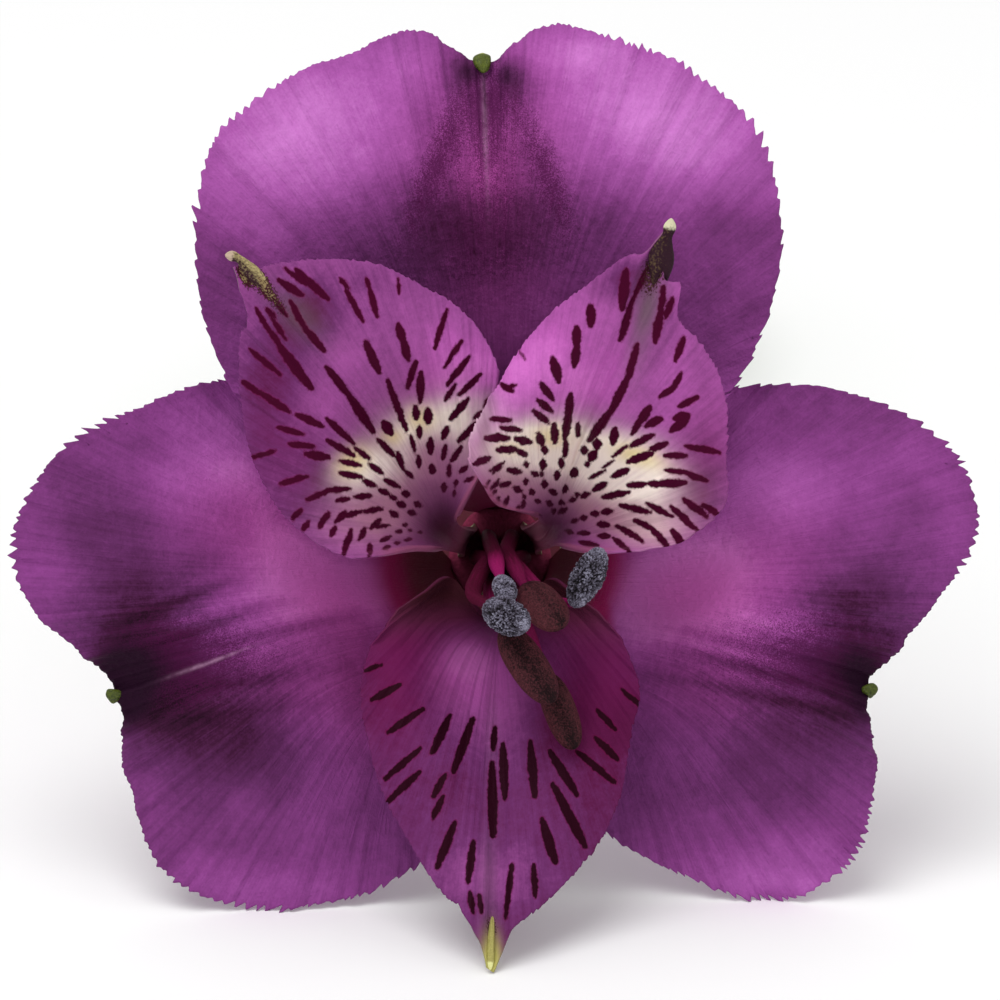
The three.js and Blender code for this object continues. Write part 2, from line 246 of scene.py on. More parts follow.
@dataclass
class Blade:
    """The lattice of a thin blade: every sample's place across and along it, row by row."""

    across: Numbers
    along: Numbers
    rows: list[Numbers]

    @classmethod
    def lattice(cls, bands: Sequence[Band]) -> "Blade":
        """Makes the lattice of these bands.

        Args:
            bands: the bands, which follow each other from the foot to the margin.

        Returns:
            The lattice.
        """
        places, counts, begin = [0.0], [bands[0].columns], 0.0
        for band in bands:
            run = band.end - begin
            places += [begin + run * row / band.rows for row in range(1, band.rows + 1)]
            counts += [band.columns] * band.rows
            begin = band.end
        across = np.concatenate([np.linspace(-1, 1, count) for count in counts])
        rows = np.split(np.arange(len(across)), np.cumsum(counts)[:-1])
        return cls(across, np.repeat(places, counts), rows)

    def faces(self) -> list[tuple[int, ...]]:
        """Joins the samples into the faces of a closed shell.

        Returns:
            Faces over two copies of the samples: the under side's, and after them the upper side's.
        """
        sheet: list[tuple[int, ...]] = []
        for lower, upper in zip(self.rows, self.rows[1:]):
            low, high = lower.tolist(), upper.tolist()
            if len(low) == len(high):
                sheet += zip(low, low[1:], high[1:], high)
                continue
            sheet += zip(low, high[1::2], high[::2])
            sheet += zip(low, low[1:], high[1::2])
            sheet += zip(low[1:], high[2::2], high[1::2])
        count = len(self.across)
        upper_sheet = [tuple(index + count for index in reversed(face)) for face in sheet]
        right_side = [int(row[-1]) for row in self.rows[1:-1]]
        left_side = [int(row[0]) for row in self.rows[-2:0:-1]]
        rim = [*self.rows[0].tolist(), *right_side, *self.rows[-1].tolist()[::-1], *left_side]
        edge = [
            (follower, here, here + count, follower + count)
            for here, follower in zip(rim, rim[1:] + rim[:1])
        ]
        return [*sheet, *upper_sheet, *edge]

    def shell(self, surface: Callable[..., Points], relief: Numbers, thickness: Numbers) -> Skin:
        """Gives the lattice its form and thickness.

        Args:
            surface: gives the middle surface's points for places across and along, and keeps to it.
            relief: how far each sample stands out of that surface towards the upper side.
            thickness: the blade's thickness at each sample.

        Returns:
            The shell, without any marks.
        """
        step = 0.002
        ahead = np.minimum(self.along + step, 1)
        right = np.minimum(self.across + step, 1)
        along_way = surface(self.across, ahead) - surface(self.across, ahead - step)
        across_way = surface(right, self.along) - surface(right - step, self.along)
        normal = unit(np.cross(along_way, across_way))
        middle = surface(self.across, self.along, True) + normal * relief[:, None]
        half = normal * (thickness / 2)[:, None]
        return Skin(np.concatenate([middle - half, middle + half]), self.faces())


def limb(
    path: Points,
    rings: int,
    sides: int,
    girth: Callable[[Numbers, Numbers], Numbers],
    side: Sequence[float] = (1, 0, 0),
    ends: float = 0.02,
) -> tuple[Skin, Numbers, Numbers]:
    """Makes a closed limb along a smooth path.

    Args:
        path: the points that its axis goes through.
        rings: how many rings it has along the path.
        sides: how many points a ring has.
        girth: the radius at places from 0 to 1 along it and turns in radians round it.
        side: the direction that turn 0 looks in.
        ends: how much closer the rings are near both ends, from 0 to 1.

    Returns:
        The limb, and the place and turn of each of its points.
    """
    spread = np.linspace(0, 1, rings)
    places = spread * (1 - ends) + ends * (1 - np.cos(np.pi * spread)) / 2
    step = 0.0005
    centre = spline(path, places)
    forward = unit(spline(path, np.minimum(places + step, 1)) - spline(path, np.maximum(places - step, 0)))
    base = np.asarray(side, float)
    across = unit(base - forward * (forward @ base)[:, None])
    upright = np.cross(forward, across)
    turns = np.linspace(0, 2 * np.pi, sides, endpoint=False)
    place_grid, turn_grid = (grid.ravel() for grid in np.meshgrid(places, turns, indexing="ij"))
    radius = girth(place_grid, turn_grid)[:, None]
    ring = np.repeat(np.arange(rings), sides)
    points = centre[ring] + radius * (
        across[ring] * np.cos(turn_grid)[:, None] + upright[ring] * np.sin(turn_grid)[:, None]
    )
    heel, toe = len(points), len(points) + 1
    points = np.concatenate([points, centre[:1], centre[-1:]])
    faces: list[tuple[int, ...]] = []
    for k in range(sides):
        following = (k + 1) % sides
        for row in range(rings - 1):
            low = row * sides
            high = low + sides
            faces.append((low + k, low + following, high + following, high + k))
        faces.append((heel, following, k))
        last = (rings - 1) * sides
        faces.append((toe, last + k, last + following))
    return Skin(points, faces), np.append(place_grid, [0, 1]), np.append(turn_grid, [0, 0])


def fibres(place: Numbers, turn: Numbers, sector: float, length: float) -> Points:
    """Returns texture coordinates that run along a limb.

    Args:
        place: the place of each point along the limb.
        turn: its turn in radians.
        sector: how many degrees of turn make a unit.
        length: how many units the limb is long.

    Returns:
        The coordinates of each point: round the limb, along it, and 0.
    """
    return np.stack([np.degrees(turn) / sector, place * length, 0 * place], 1)


# --------------------------------------------------------------------------------------------- materials


def colour(code: int) -> tuple[float, float, float, float]:
    """Turns a colour into the renderer's linear one.

    Args:
        code: the colour, written as 0xRRGGBB.

    Returns:
        Its red, green and blue as light, and that it is opaque.
    """
    parts = [(code >> shift & 255) / 255 for shift in (16, 8, 0)]
    linear = [p / 12.92 if p <= 0.04045 else ((p + 0.055) / 1.055) ** 2.4 for p in parts]
    return (*linear, 1.0)


class Signal:
    """A number that varies over a surface. Its arithmetic adds Math nodes."""

    def __init__(self, recipe: "Recipe", socket: bpy.types.NodeSocket) -> None:
        """Wraps an output socket of the recipe's node tree."""
        self.recipe = recipe
        self.socket = socket

    def _math(self, operation: str, *values: "Signal | float") -> "Signal":
        """Adds one Math node.

        Args:
            operation: the node's operation.
            values: its inputs in order.

        Returns:
            The node's result.
        """
        node = self.recipe.node("ShaderNodeMath", {"operation": operation}, dict(enumerate(values)))
        return Signal(self.recipe, node.outputs[0])

    def __add__(self, other: "Signal | float") -> "Signal":
        """Returns self + other."""
        return self._math("ADD", self, other)

    __radd__ = __add__

    def __sub__(self, other: "Signal | float") -> "Signal":
        """Returns self - other."""
        return self._math("SUBTRACT", self, other)

    def __rsub__(self, other: float) -> "Signal":
        """Returns other - self."""
        return self._math("SUBTRACT", other, self)

    def __mul__(self, other: "Signal | float") -> "Signal":
        """Returns self * other."""
        return self._math("MULTIPLY", self, other)

    __rmul__ = __mul__

    def over(self, low: float, high: float) -> "Signal":
        """Returns 0 where this is below low and 1 where it is above high, smooth between them."""
        node = self.recipe.node(
            "ShaderNodeMapRange",
            {"interpolation_type": "SMOOTHSTEP"},
            {"Value": self, "From Min": low, "From Max": high},
        )
        return Signal(self.recipe, node.outputs["Result"])


class Recipe:
    """One material's node tree while it is put together."""

    def __init__(self, name: str) -> None:
        """Starts an empty material of this name."""
        self.material = bpy.data.materials.new(name)
        self.material.use_nodes = True
        self.tree = self.material.node_tree
        self.tree.nodes.clear()

    def node(self, kind: str, settings: dict | None = None, inputs: dict | None = None) -> bpy.types.Node:
        """Adds a node.

        Args:
            kind: the node's type.
            settings: its properties, set first.
            inputs: a value or a link for each input, by name or number.

        Returns:
            The node.
        """
        node = self.tree.nodes.new(kind)
        for setting, value in (settings or {}).items():
            if setting == "stops":
                self._set_stops(node.color_ramp, value)
            else:
                setattr(node, setting, value)
        for place, value in (inputs or {}).items():
            socket = node.inputs[place]
            if isinstance(value, Signal):
                self.tree.links.new(value.socket, socket)
            elif isinstance(value, bpy.types.NodeSocket):
                self.tree.links.new(value, socket)
            else:
                socket.default_value = value
        return node

    @staticmethod
    def _set_stops(ramp: bpy.types.ColorRamp, stops: Sequence[tuple[float, int]]) -> None:
        """Gives a ramp its stops.

        Args:
            ramp: the ramp.
            stops: for each its place from 0 to 1 and its colour.
        """
        while len(ramp.elements) < len(stops):
            ramp.elements.new(1.0)
        for element, (place, code) in zip(ramp.elements, stops):
            element.position = place
            element.color = colour(code)

    def shades(self, tone: Signal, stops: Sequence[tuple[float, int]]) -> bpy.types.NodeSocket:
        """Turns a tone into a colour.

        Args:
            tone: the tone, from 0 to 1.
            stops: tones and their colours.

        Returns:
            The colour.
        """
        return self.node("ShaderNodeValToRGB", {"stops": stops}, {"Fac": tone}).outputs["Color"]

    def mark(self, name: str) -> Signal:
        """Reads one of the mesh's marks."""
        node = self.node("ShaderNodeAttribute", {"attribute_name": name})
        return Signal(self, node.outputs["Fac"])

    def grain(self, name: str = "grain") -> bpy.types.NodeSocket:
        """Reads the mesh's own texture coordinates."""
        return self.node("ShaderNodeAttribute", {"attribute_name": name}).outputs["Vector"]

    def noise(self, vector: bpy.types.NodeSocket, scale: Sequence[float], detail: float = 3) -> Signal:
        """Reads a noise.

        Args:
            vector: the texture coordinates.
            scale: how fine the noise is along each of them.
            detail: its octaves.

        Returns:
            The noise, from about -0.25 to 0.25.
        """
        stretched = self.node("ShaderNodeVectorMath", {"operation": "MULTIPLY"}, {0: vector, 1: scale})
        inputs = {"Vector": stretched.outputs[0], "Scale": 1.0, "Detail": detail}
        return Signal(self, self.node("ShaderNodeTexNoise", {}, inputs).outputs["Fac"]) - 0.5

    def mix(self, share: Signal, first: Paint, second: Paint, blend: str = "MIX") -> bpy.types.NodeSocket:
        """Mixes two colours.

        Args:
            share: how much of the second one.
            first: a colour, written as 0xRRGGBB, or a link.
            second: a colour or a link, as first.
            blend: how they are mixed.

        Returns:
            The mixed colour.
        """
        settings = {"data_type": "RGBA", "blend_type": blend, "clamp_factor": True}
        first, second = (colour(paint) if isinstance(paint, int) else paint for paint in (first, second))
        return self.node("ShaderNodeMix", settings, {0: share, 6: first, 7: second}).outputs[2]

    def layered(self, base: bpy.types.NodeSocket, layers: Sequence[tuple[str, int]]) -> bpy.types.NodeSocket:
        """Lays colours over each other.

        Args:
            base: the colour below them.
            layers: for each the mark that says where it lies, and the colour.

        Returns:
            The colour on top.
        """
        for name, code in layers:
            base = self.mix(self.mark(name), base, code)
        return base

    def dress(self, base: bpy.types.NodeSocket, surface: dict, bump: Signal, depth: float) -> None:
        """Finishes the material.

        Args:
            base: its colour.
            surface: values of the shader's other sockets.
            bump: the height of its fine relief.
            depth: the relief's height in millimetres.
        """
        height = {"Height": bump, "Strength": 0.6, "Distance": depth * MILLIMETRE}
        relief = self.node("ShaderNodeBump", {}, height)
        inputs = {"Base Color": base, "Normal": relief.outputs["Normal"], **surface}
        shader = self.node("ShaderNodeBsdfPrincipled", {}, inputs)
        self.node("ShaderNodeOutputMaterial", {}, {"Surface": shader.outputs["BSDF"]})


# How much of the foot's green the petals take on.
FOOT_SHARE = 0.85


def petal_surface(rough: Signal, gloss: float, gloss_tint: int, sheen: float, sheen_tint: int) -> dict:
    """Lists the values of the shader's sockets that make a petal satin.

    Args:
        rough: its roughness.
        gloss: how much it shines.
        gloss_tint: the colour of the shine.
        sheen: how much it glows at a slant.
        sheen_tint: the colour of the glow.

    Returns:
        The values by the sockets' names.
    """
    return {
        "Roughness": rough,
        "Specular IOR Level": gloss,
        "Specular Tint": colour(gloss_tint),
        "Sheen Weight": sheen,
        "Sheen Roughness": 0.4,
        "Sheen Tint": colour(sheen_tint),
    }


@dataclass(frozen=True)
class OuterFinish:
    """Velvety purple that pales towards the margin and darkens to maroon round the tip."""

    shades: tuple[tuple[float, int], ...] = (
        (0.0, 0x1A0814),
        (0.2, 0x3C1634),
        (0.4, 0x602C5E),
        (0.6, 0x884086),
        (0.8, 0xAA58A8),
        (1.0, 0xCC7CCA),
    )
    maroon: int = 0x460F3A
    rose: int = 0xB04494
    night: int = 0x200C1E
    wine: int = 0x962058
    # The throat's maroon, darkened further as painted shade.
    hollow: int = 0x6A2034
    pale: int = 0xC498B8
    foot: int = 0x6C7444

    def material(self) -> bpy.types.Material:
        """Makes the material.

        Returns:
            The material of the outer tepals.
        """
        recipe = Recipe("outer_tepal")
        grain = recipe.grain()
        place = recipe.grain("place")
        streaks = recipe.noise(grain, (1.3, 0.07, 1), 4)
        fine = recipe.noise(grain, (4.5, 0.45, 1), 3)
        velvet = recipe.noise(place, (6, 6, 6), 2)
        cloud = recipe.noise(place, (0.35, 0.35, 0.35), 3)
        crinkle = recipe.noise(place, (1.7, 1.7, 1.7), 4)
        speck = recipe.noise(place, (11, 11, 11), 2)
        dusk = recipe.mark("dusk")
        rough = streaks * 0.3 + fine * 0.2 + velvet * 0.25 + crinkle * 0.25
        tone = recipe.mark("tone") + cloud * 0.2 + rough * (dusk + 0.45)
        base = recipe.mix(recipe.mark("rose"), recipe.shades(tone, self.shades), self.rose, "COLOR")
        stained = dusk + streaks * 0.7 + speck * 1.5
        base = recipe.mix(stained.over(0.45, 1.0) * 0.8, base, self.maroon)
        night = recipe.mark("night") + streaks * 0.5 + velvet * 0.6
        base = recipe.mix(night.over(0.1, 1.0), base, self.night)
        base = recipe.mix(recipe.mark("midrib") * (1 + crinkle * 3), base, self.pale)
        base = recipe.mix(recipe.mark("foot") * FOOT_SHARE, base, self.foot)
        # Towards the throat the tepal turns wine red, and where it is deepest it takes the throat's maroon
        # with painted shade.
        hollow = recipe.mark("hollow")
        base = recipe.mix(hollow.over(0, 0.5), base, self.wine)
        base = recipe.mix(hollow.over(0.45, 1), base, self.hollow)
        surface = petal_surface(0.6 + velvet * 0.3, 0.12, 0xE08CC0, 0.03, 0xD86CB8)
        recipe.dress(base, surface, streaks * 0.9 + fine * 0.6 + velvet * 0.4 + crinkle * 1.5, 0.17)
        return recipe.material


@dataclass(frozen=True)
class InnerFinish:
    """Mauve pink with a cream blotch and dark dashes, darker with painted shade where the blade turns into
    the throat, with painted glints there.
    """

    shades: tuple[tuple[float, int], ...] = (
        (0.0, 0x34081E),
        (0.25, 0x561640),
        (0.45, 0x6C3068),
        (0.65, 0x964A8E),
        (0.85, 0xB85CAE),
        (1.0, 0xD070C4),
    )
    magenta: int = 0x66144A
    # What the dashes lie on, and what lies on them, each a mark and its colour, from the lowest up.
    blotches: tuple[tuple[str, int], ...] = (("blush", 0xB47A96), ("cream", 0xFFF0E6))
    grounds: tuple[tuple[str, int], ...] = (("yellow", 0xE8D482), ("grey", 0x6A5060), ("lime", 0xC0BA68))
    # Over the dashes: painted shade, the throat's maroon with painted shade, the claws' colour, painted
    # glints and the pale rim.
    shadings: tuple[tuple[str, int], ...] = (
        ("shade", 0x5C2240), ("hollow", 0x3C1820), ("claw", 0xB0587A), ("glint", 0x8A8088), ("rim", 0xA85C80),
    )
    dash: int = 0x3E0220
    low_dash: int = 0x22020E
    dash_edge: int = 0x640A38
    foot: int = 0x707848
    stain: int = 0x3A1A20
    bran: int = 0x8E7C56

    def material(self) -> bpy.types.Material:
        """Makes the material.

        Returns:
            The material of the inner tepals.
        """
        recipe = Recipe("inner_tepal")
        grain = recipe.grain()
        place = recipe.grain("place")
        streaks = recipe.noise(grain, (0.9, 0.09, 1), 4)
        fine = recipe.noise(grain, (3.4, 0.4, 1), 3)
        velvet = recipe.noise(place, (6, 6, 6), 2)
        cloud = recipe.noise(place, (0.5, 0.5, 0.5), 3)
        crinkle = recipe.noise(place, (1.9, 1.9, 1.9), 4)
        rough = streaks * 0.14 + fine * 0.1 + velvet * 0.12 + crinkle * 0.16
        tone = recipe.mark("tone") + cloud * 0.16 + rough
        base = recipe.mix(recipe.mark("magenta"), recipe.shades(tone, self.shades), self.magenta)
        patchy = streaks * 0.6 + cloud * 0.8 + 1
        for name, code in self.blotches:
            base = recipe.mix(recipe.mark(name) * patchy, base, code)
        base = recipe.layered(base, self.grounds)
        dash = recipe.mark("dash") + recipe.noise(place, (3, 3, 3), 3) * 0.22 + crinkle * 0.14
        core = recipe.mix(recipe.mark("low"), self.dash, self.low_dash)
        base = recipe.mix(dash.over(0.13, 0.02) * 0.5, base, self.dash_edge)
        base = recipe.mix(dash.over(0.055, -0.035), base, core)
        base = recipe.layered(base, self.shadings)
        base = recipe.mix(recipe.mark("foot") * FOOT_SHARE, base, self.foot)
        stain = recipe.mark("stain") + recipe.noise(place, (7, 7, 7), 3) * 1.6
        base = recipe.mix(stain.over(0.45, 0.75), base, self.stain)
        base = recipe.mix(stain.over(0.8, 1.1), base, self.bran)
        surface = petal_surface(0.5 + velvet * 0.3, 0.1, 0xE8A0CC, 0.02, 0xE08CC8)
        recipe.dress(base, surface, streaks * 0.6 + fine * 0.6 + velvet * 0.3 + crinkle, 0.12)
        return recipe.material


@dataclass(frozen=True)
class PlainFinish:
    """A living surface of two near colours, with streaks along it, a fine speckle and, where it has one, a
    tip of another colour."""

    name: str
    light: int
    dark: int
    streak: tuple[float, float, float] = (3, 0.3, 1)
    speckle: float = 8
    contrast: float = 0.8
    roughness: float = 0.45
    gloss: float = 0.3
    relief: float = 0.08
    tip: int | None = None

    def named(self, name: str, light: int, dark: int) -> "PlainFinish":
        """Returns this finish under another name, with colours of its own."""
        return replace(self, name=name, light=light, dark=dark)

    def material(self) -> bpy.types.Material:
        """Makes the material.

        Returns:
            The material of the surface.
        """
        recipe = Recipe(self.name)
        streaks = recipe.noise(recipe.grain(), self.streak, 4)
        speckle = recipe.noise(recipe.grain("place"), (self.speckle,) * 3, 3)
        share = recipe.mark("tone") + streaks * 0.9 + speckle * self.contrast
        base = recipe.mix(share, self.dark, self.light)
        if self.tip is not None:
            tip = recipe.mark("tip") * (1 + speckle * 1.6)
            base = recipe.mix(tip.over(0.2, 0.8), base, self.tip)
        surface = {"Roughness": self.roughness + speckle * 0.3, "Specular IOR Level": self.gloss}
        recipe.dress(base, surface, streaks * 0.5 + speckle, self.relief)
        return recipe.material


PINK_THREAD = PlainFinish("thread", 0, 0, speckle=4, contrast=0.3, roughness=0.7, gloss=0.04)


@dataclass(frozen=True)
class PollenFinish:
    """Blue-grey grains over a dark sac."""

    shades: tuple[tuple[float, int], ...] = (
        (0.0, 0x0C080C),
        (0.3, 0x1E1820),
        (0.5, 0x38323E),
        (0.7, 0x524E5C),
        (0.88, 0x6E6A7C),
        (1.0, 0x8E8C9E),
    )

    def material(self) -> bpy.types.Material:
        """Makes the material.

        Returns:
            The material of the pollen.
        """
        recipe = Recipe("pollen")
        speckle = recipe.noise(recipe.grain("place"), (16, 16, 16), 2)
        drift = recipe.noise(recipe.grain("place"), (1.2, 1.2, 1.2), 2)
        tone = recipe.mark("tone") * 0.8 + speckle * 1.5 + drift * 1.1
        base = recipe.shades(tone, self.shades)
        surface = {"Roughness": 0.75 + speckle * 0.3, "Specular IOR Level": 0.2}
        recipe.dress(base, surface, speckle, 0.05)
        return recipe.material


# ------------------------------------------------------------------------------------------------ tepals


@dataclass(frozen=True)
class Patch:
    """A soft oval on the plan of the bloom's face: its middle, half sizes, amount and turn in degrees."""

    x: float
    y: float
    wide: float
    high: float
    amount: float
    turn: float = 0.0

    def at(self, places: Points) -> Numbers:
        """Works out how much of the patch there is.

        Args:
            places: places on the plan.

        Returns:
            The amount at each of them.
        """
        angle = np.radians(self.turn)
        across, down = (places - [self.x, self.y]).T
        along = across * np.cos(angle) + down * np.sin(angle)
        aside = down * np.cos(angle) - across * np.sin(angle)
        return self.amount * np.exp(-((along / self.wide) ** 2) - (aside / self.high) ** 2)


Patches = tuple[Patch, ...]


def patches(*rows: Sequence[float]) -> Patches:
    """Makes a patch of each row of values, in the order of its fields."""
    return tuple(Patch(*row) for row in rows)


def patched(ovals: Patches, places: Points) -> Numbers:
    """Returns the sum of the patches at each place of the plan."""
    return sum((oval.at(places) for oval in ovals), np.zeros(len(places)))


# How many steps off a dash is no longer looked for, and the distance in millimetres where there are none.
FARTHEST_DASH = 99.0
FREE_OF_DASHES = 9.0


def dash_distance(dashes: Sequence[Sequence[float]], places: Points) -> Numbers:
    """Measures how far each place of the plan is from the nearest dash.

    Args:
        dashes: for each dash the steps of its two ends and its width.
        places: rows of steps to the right and downwards.

    Returns:
        The distance in millimetres to the dash's outline, negative inside it.
    """
    nearest = np.full(len(places), FARTHEST_DASH)
    for x0, y0, x1, y1, width in dashes:
        start = np.array([x0, y0], float)
        way = np.array([x1 - x0, y1 - y0], float)
        length = float(np.hypot(*way))
        share = ((places - start) @ way) / length**2
        inside = np.clip(share, 0, 1)
        off = np.linalg.norm(places - start - inside[:, None] * way, axis=1)
        # A dash is slim at both ends, and a long one is a little fuller.
        slim = 0.25 + 0.75 * np.sin(np.pi * (0.1 + 0.82 * inside)) ** 0.8
        fullness = 1.08 + 0.14 * np.clip((length - 9) / 18, 0, 1)
        nearest = np.minimum(nearest, off - fullness * width / 2 * slim)
    return nearest * PLAN_STEP


@dataclass(frozen=True)
class Whorl:
    """What three tepals have in common: the stations of their claws as radius, half spread and depth, how
    far the edges stand out of the channel at the throat, where the blade's fan starts, how much it is
    folded in there, the rows of its mesh, how many teeth its margin has and how high they are, how much it
    is ruffled, and the thickness at the claw and at the margin."""

    claws: tuple[tuple[float, float, float], ...]
    channel: float
    root: float
    folded: float
    bands: tuple[Band, ...]
    teeth: int
    tooth_height: float
    ruffle: float
    thick: float = 0.45
    thin: float = 0.16


OUTER = Whorl(
    claws=((3.9, 27, PETAL_FOOT), (4.9, 40, -30), (8, 50, -17.5)),
    channel=0.5,
    root=8,
    folded=0.25,
    bands=(Band(0.4, 14, 41), Band(0.5, 8, 81), Band(0.62, 12, 161), Band(0.975, 46, 321), Band(1, 5, 641)),
    teeth=104,
    tooth_height=1.0,
    ruffle=0.3,
)
INNER = Whorl(
    claws=((2.9, 27, PETAL_FOOT), (2.9, 20, -28), (4.2, 17, -13)),
    channel=3,
    root=1.5,
    folded=-0.12,
    bands=(
        Band(0.36, 12, 41), Band(0.44, 10, 81), Band(0.52, 14, 161), Band(0.985, 84, 321), Band(1, 3, 321),
    ),
    teeth=70,
    tooth_height=0.3,
    ruffle=0.16,
)
# The veins of a blade crowd a little towards its tip.
VEIN_CROWDING = 0.35
# The crease of a blade's midrib: its depth, and half its width in degrees; and the height of the pleats.
CREASE_DEPTH = 0.2
CREASE_HALF = 2.2
PLEAT_HEIGHT = 0.05


@dataclass(frozen=True)
class Teeth:
    """How margins are toothed: how short and long the gaps are; where between two dips a tooth stands on the
    left side and on the right, and how much that varies; how high teeth usually are, how much that swings
    along the margin, and its limits; how much each differs by chance; how far its tip stands out and the
    dips go in; the share that is left where the margin is calm, and how many degrees that takes to change;
    and how high the fine fringe and the slow swell are."""

    gaps: tuple[float, float] = (0.45, 1.55)
    leans: tuple[float, float] = (0.72, 0.28)
    scatter: float = 0.12
    usual: float = 0.62
    swing: float = 0.55
    limits: tuple[float, float] = (0.12, 1.2)
    chance: tuple[float, float] = (0.35, 1.0)
    peak: float = 0.6
    dip: float = 0.4
    calm: float = 0.15
    calming: float = 3.0
    fringe: float = 0.05
    swell: float = 0.3

    def levels(self, tepal: "Tepal") -> tuple[Numbers, Numbers]:
        """Works out a margin's teeth.

        Args:
            tepal: the tepal that they are on.

        Returns:
            The places across of tips and dips, in order, and how far out the margin is at each.
        """
        count = tepal.whorl.teeth
        draw = np.random.default_rng(tepal.seed)
        gaps = draw.uniform(*self.gaps, count)
        dips = np.concatenate([[0.0], np.cumsum(gaps)]) / gaps.sum() * 2 - 1
        lean = np.where(dips[:-1] < 0, *self.leans) + draw.uniform(-self.scatter, self.scatter, count)
        tips = dips[:-1] + (dips[1:] - dips[:-1]) * lean
        strength = np.clip(self.usual + self.swing * waves(tips, 7, 2, tepal.seed + 5), *self.limits)
        left, right = tepal.opening(tips) + tepal.smooth[0], tepal.smooth[1] - tepal.opening(tips)
        calm = soft_step(-self.calming, 0, left) * soft_step(-self.calming, 0, right)
        strength *= 1 - (1 - self.calm) * calm
        heights = tepal.whorl.tooth_height * strength * draw.uniform(*self.chance, count)
        places = np.concatenate([tips, dips])
        levels = np.concatenate([heights * self.peak, -self.dip * np.append(heights, heights[-1])])
        order = np.argsort(places)
        return places[order], levels[order]


@dataclass(frozen=True)
class Lobe:
    """A small lobe of a margin: its angle from the midrib, how far it stands out and its half width."""

    angle: float
    height: float
    half: float

    def at(self, opening: Numbers) -> Numbers:
        """Returns how far it stands out at these angles from the midrib."""
        return self.height * np.exp(-(((opening - self.angle) / self.half) ** 2))


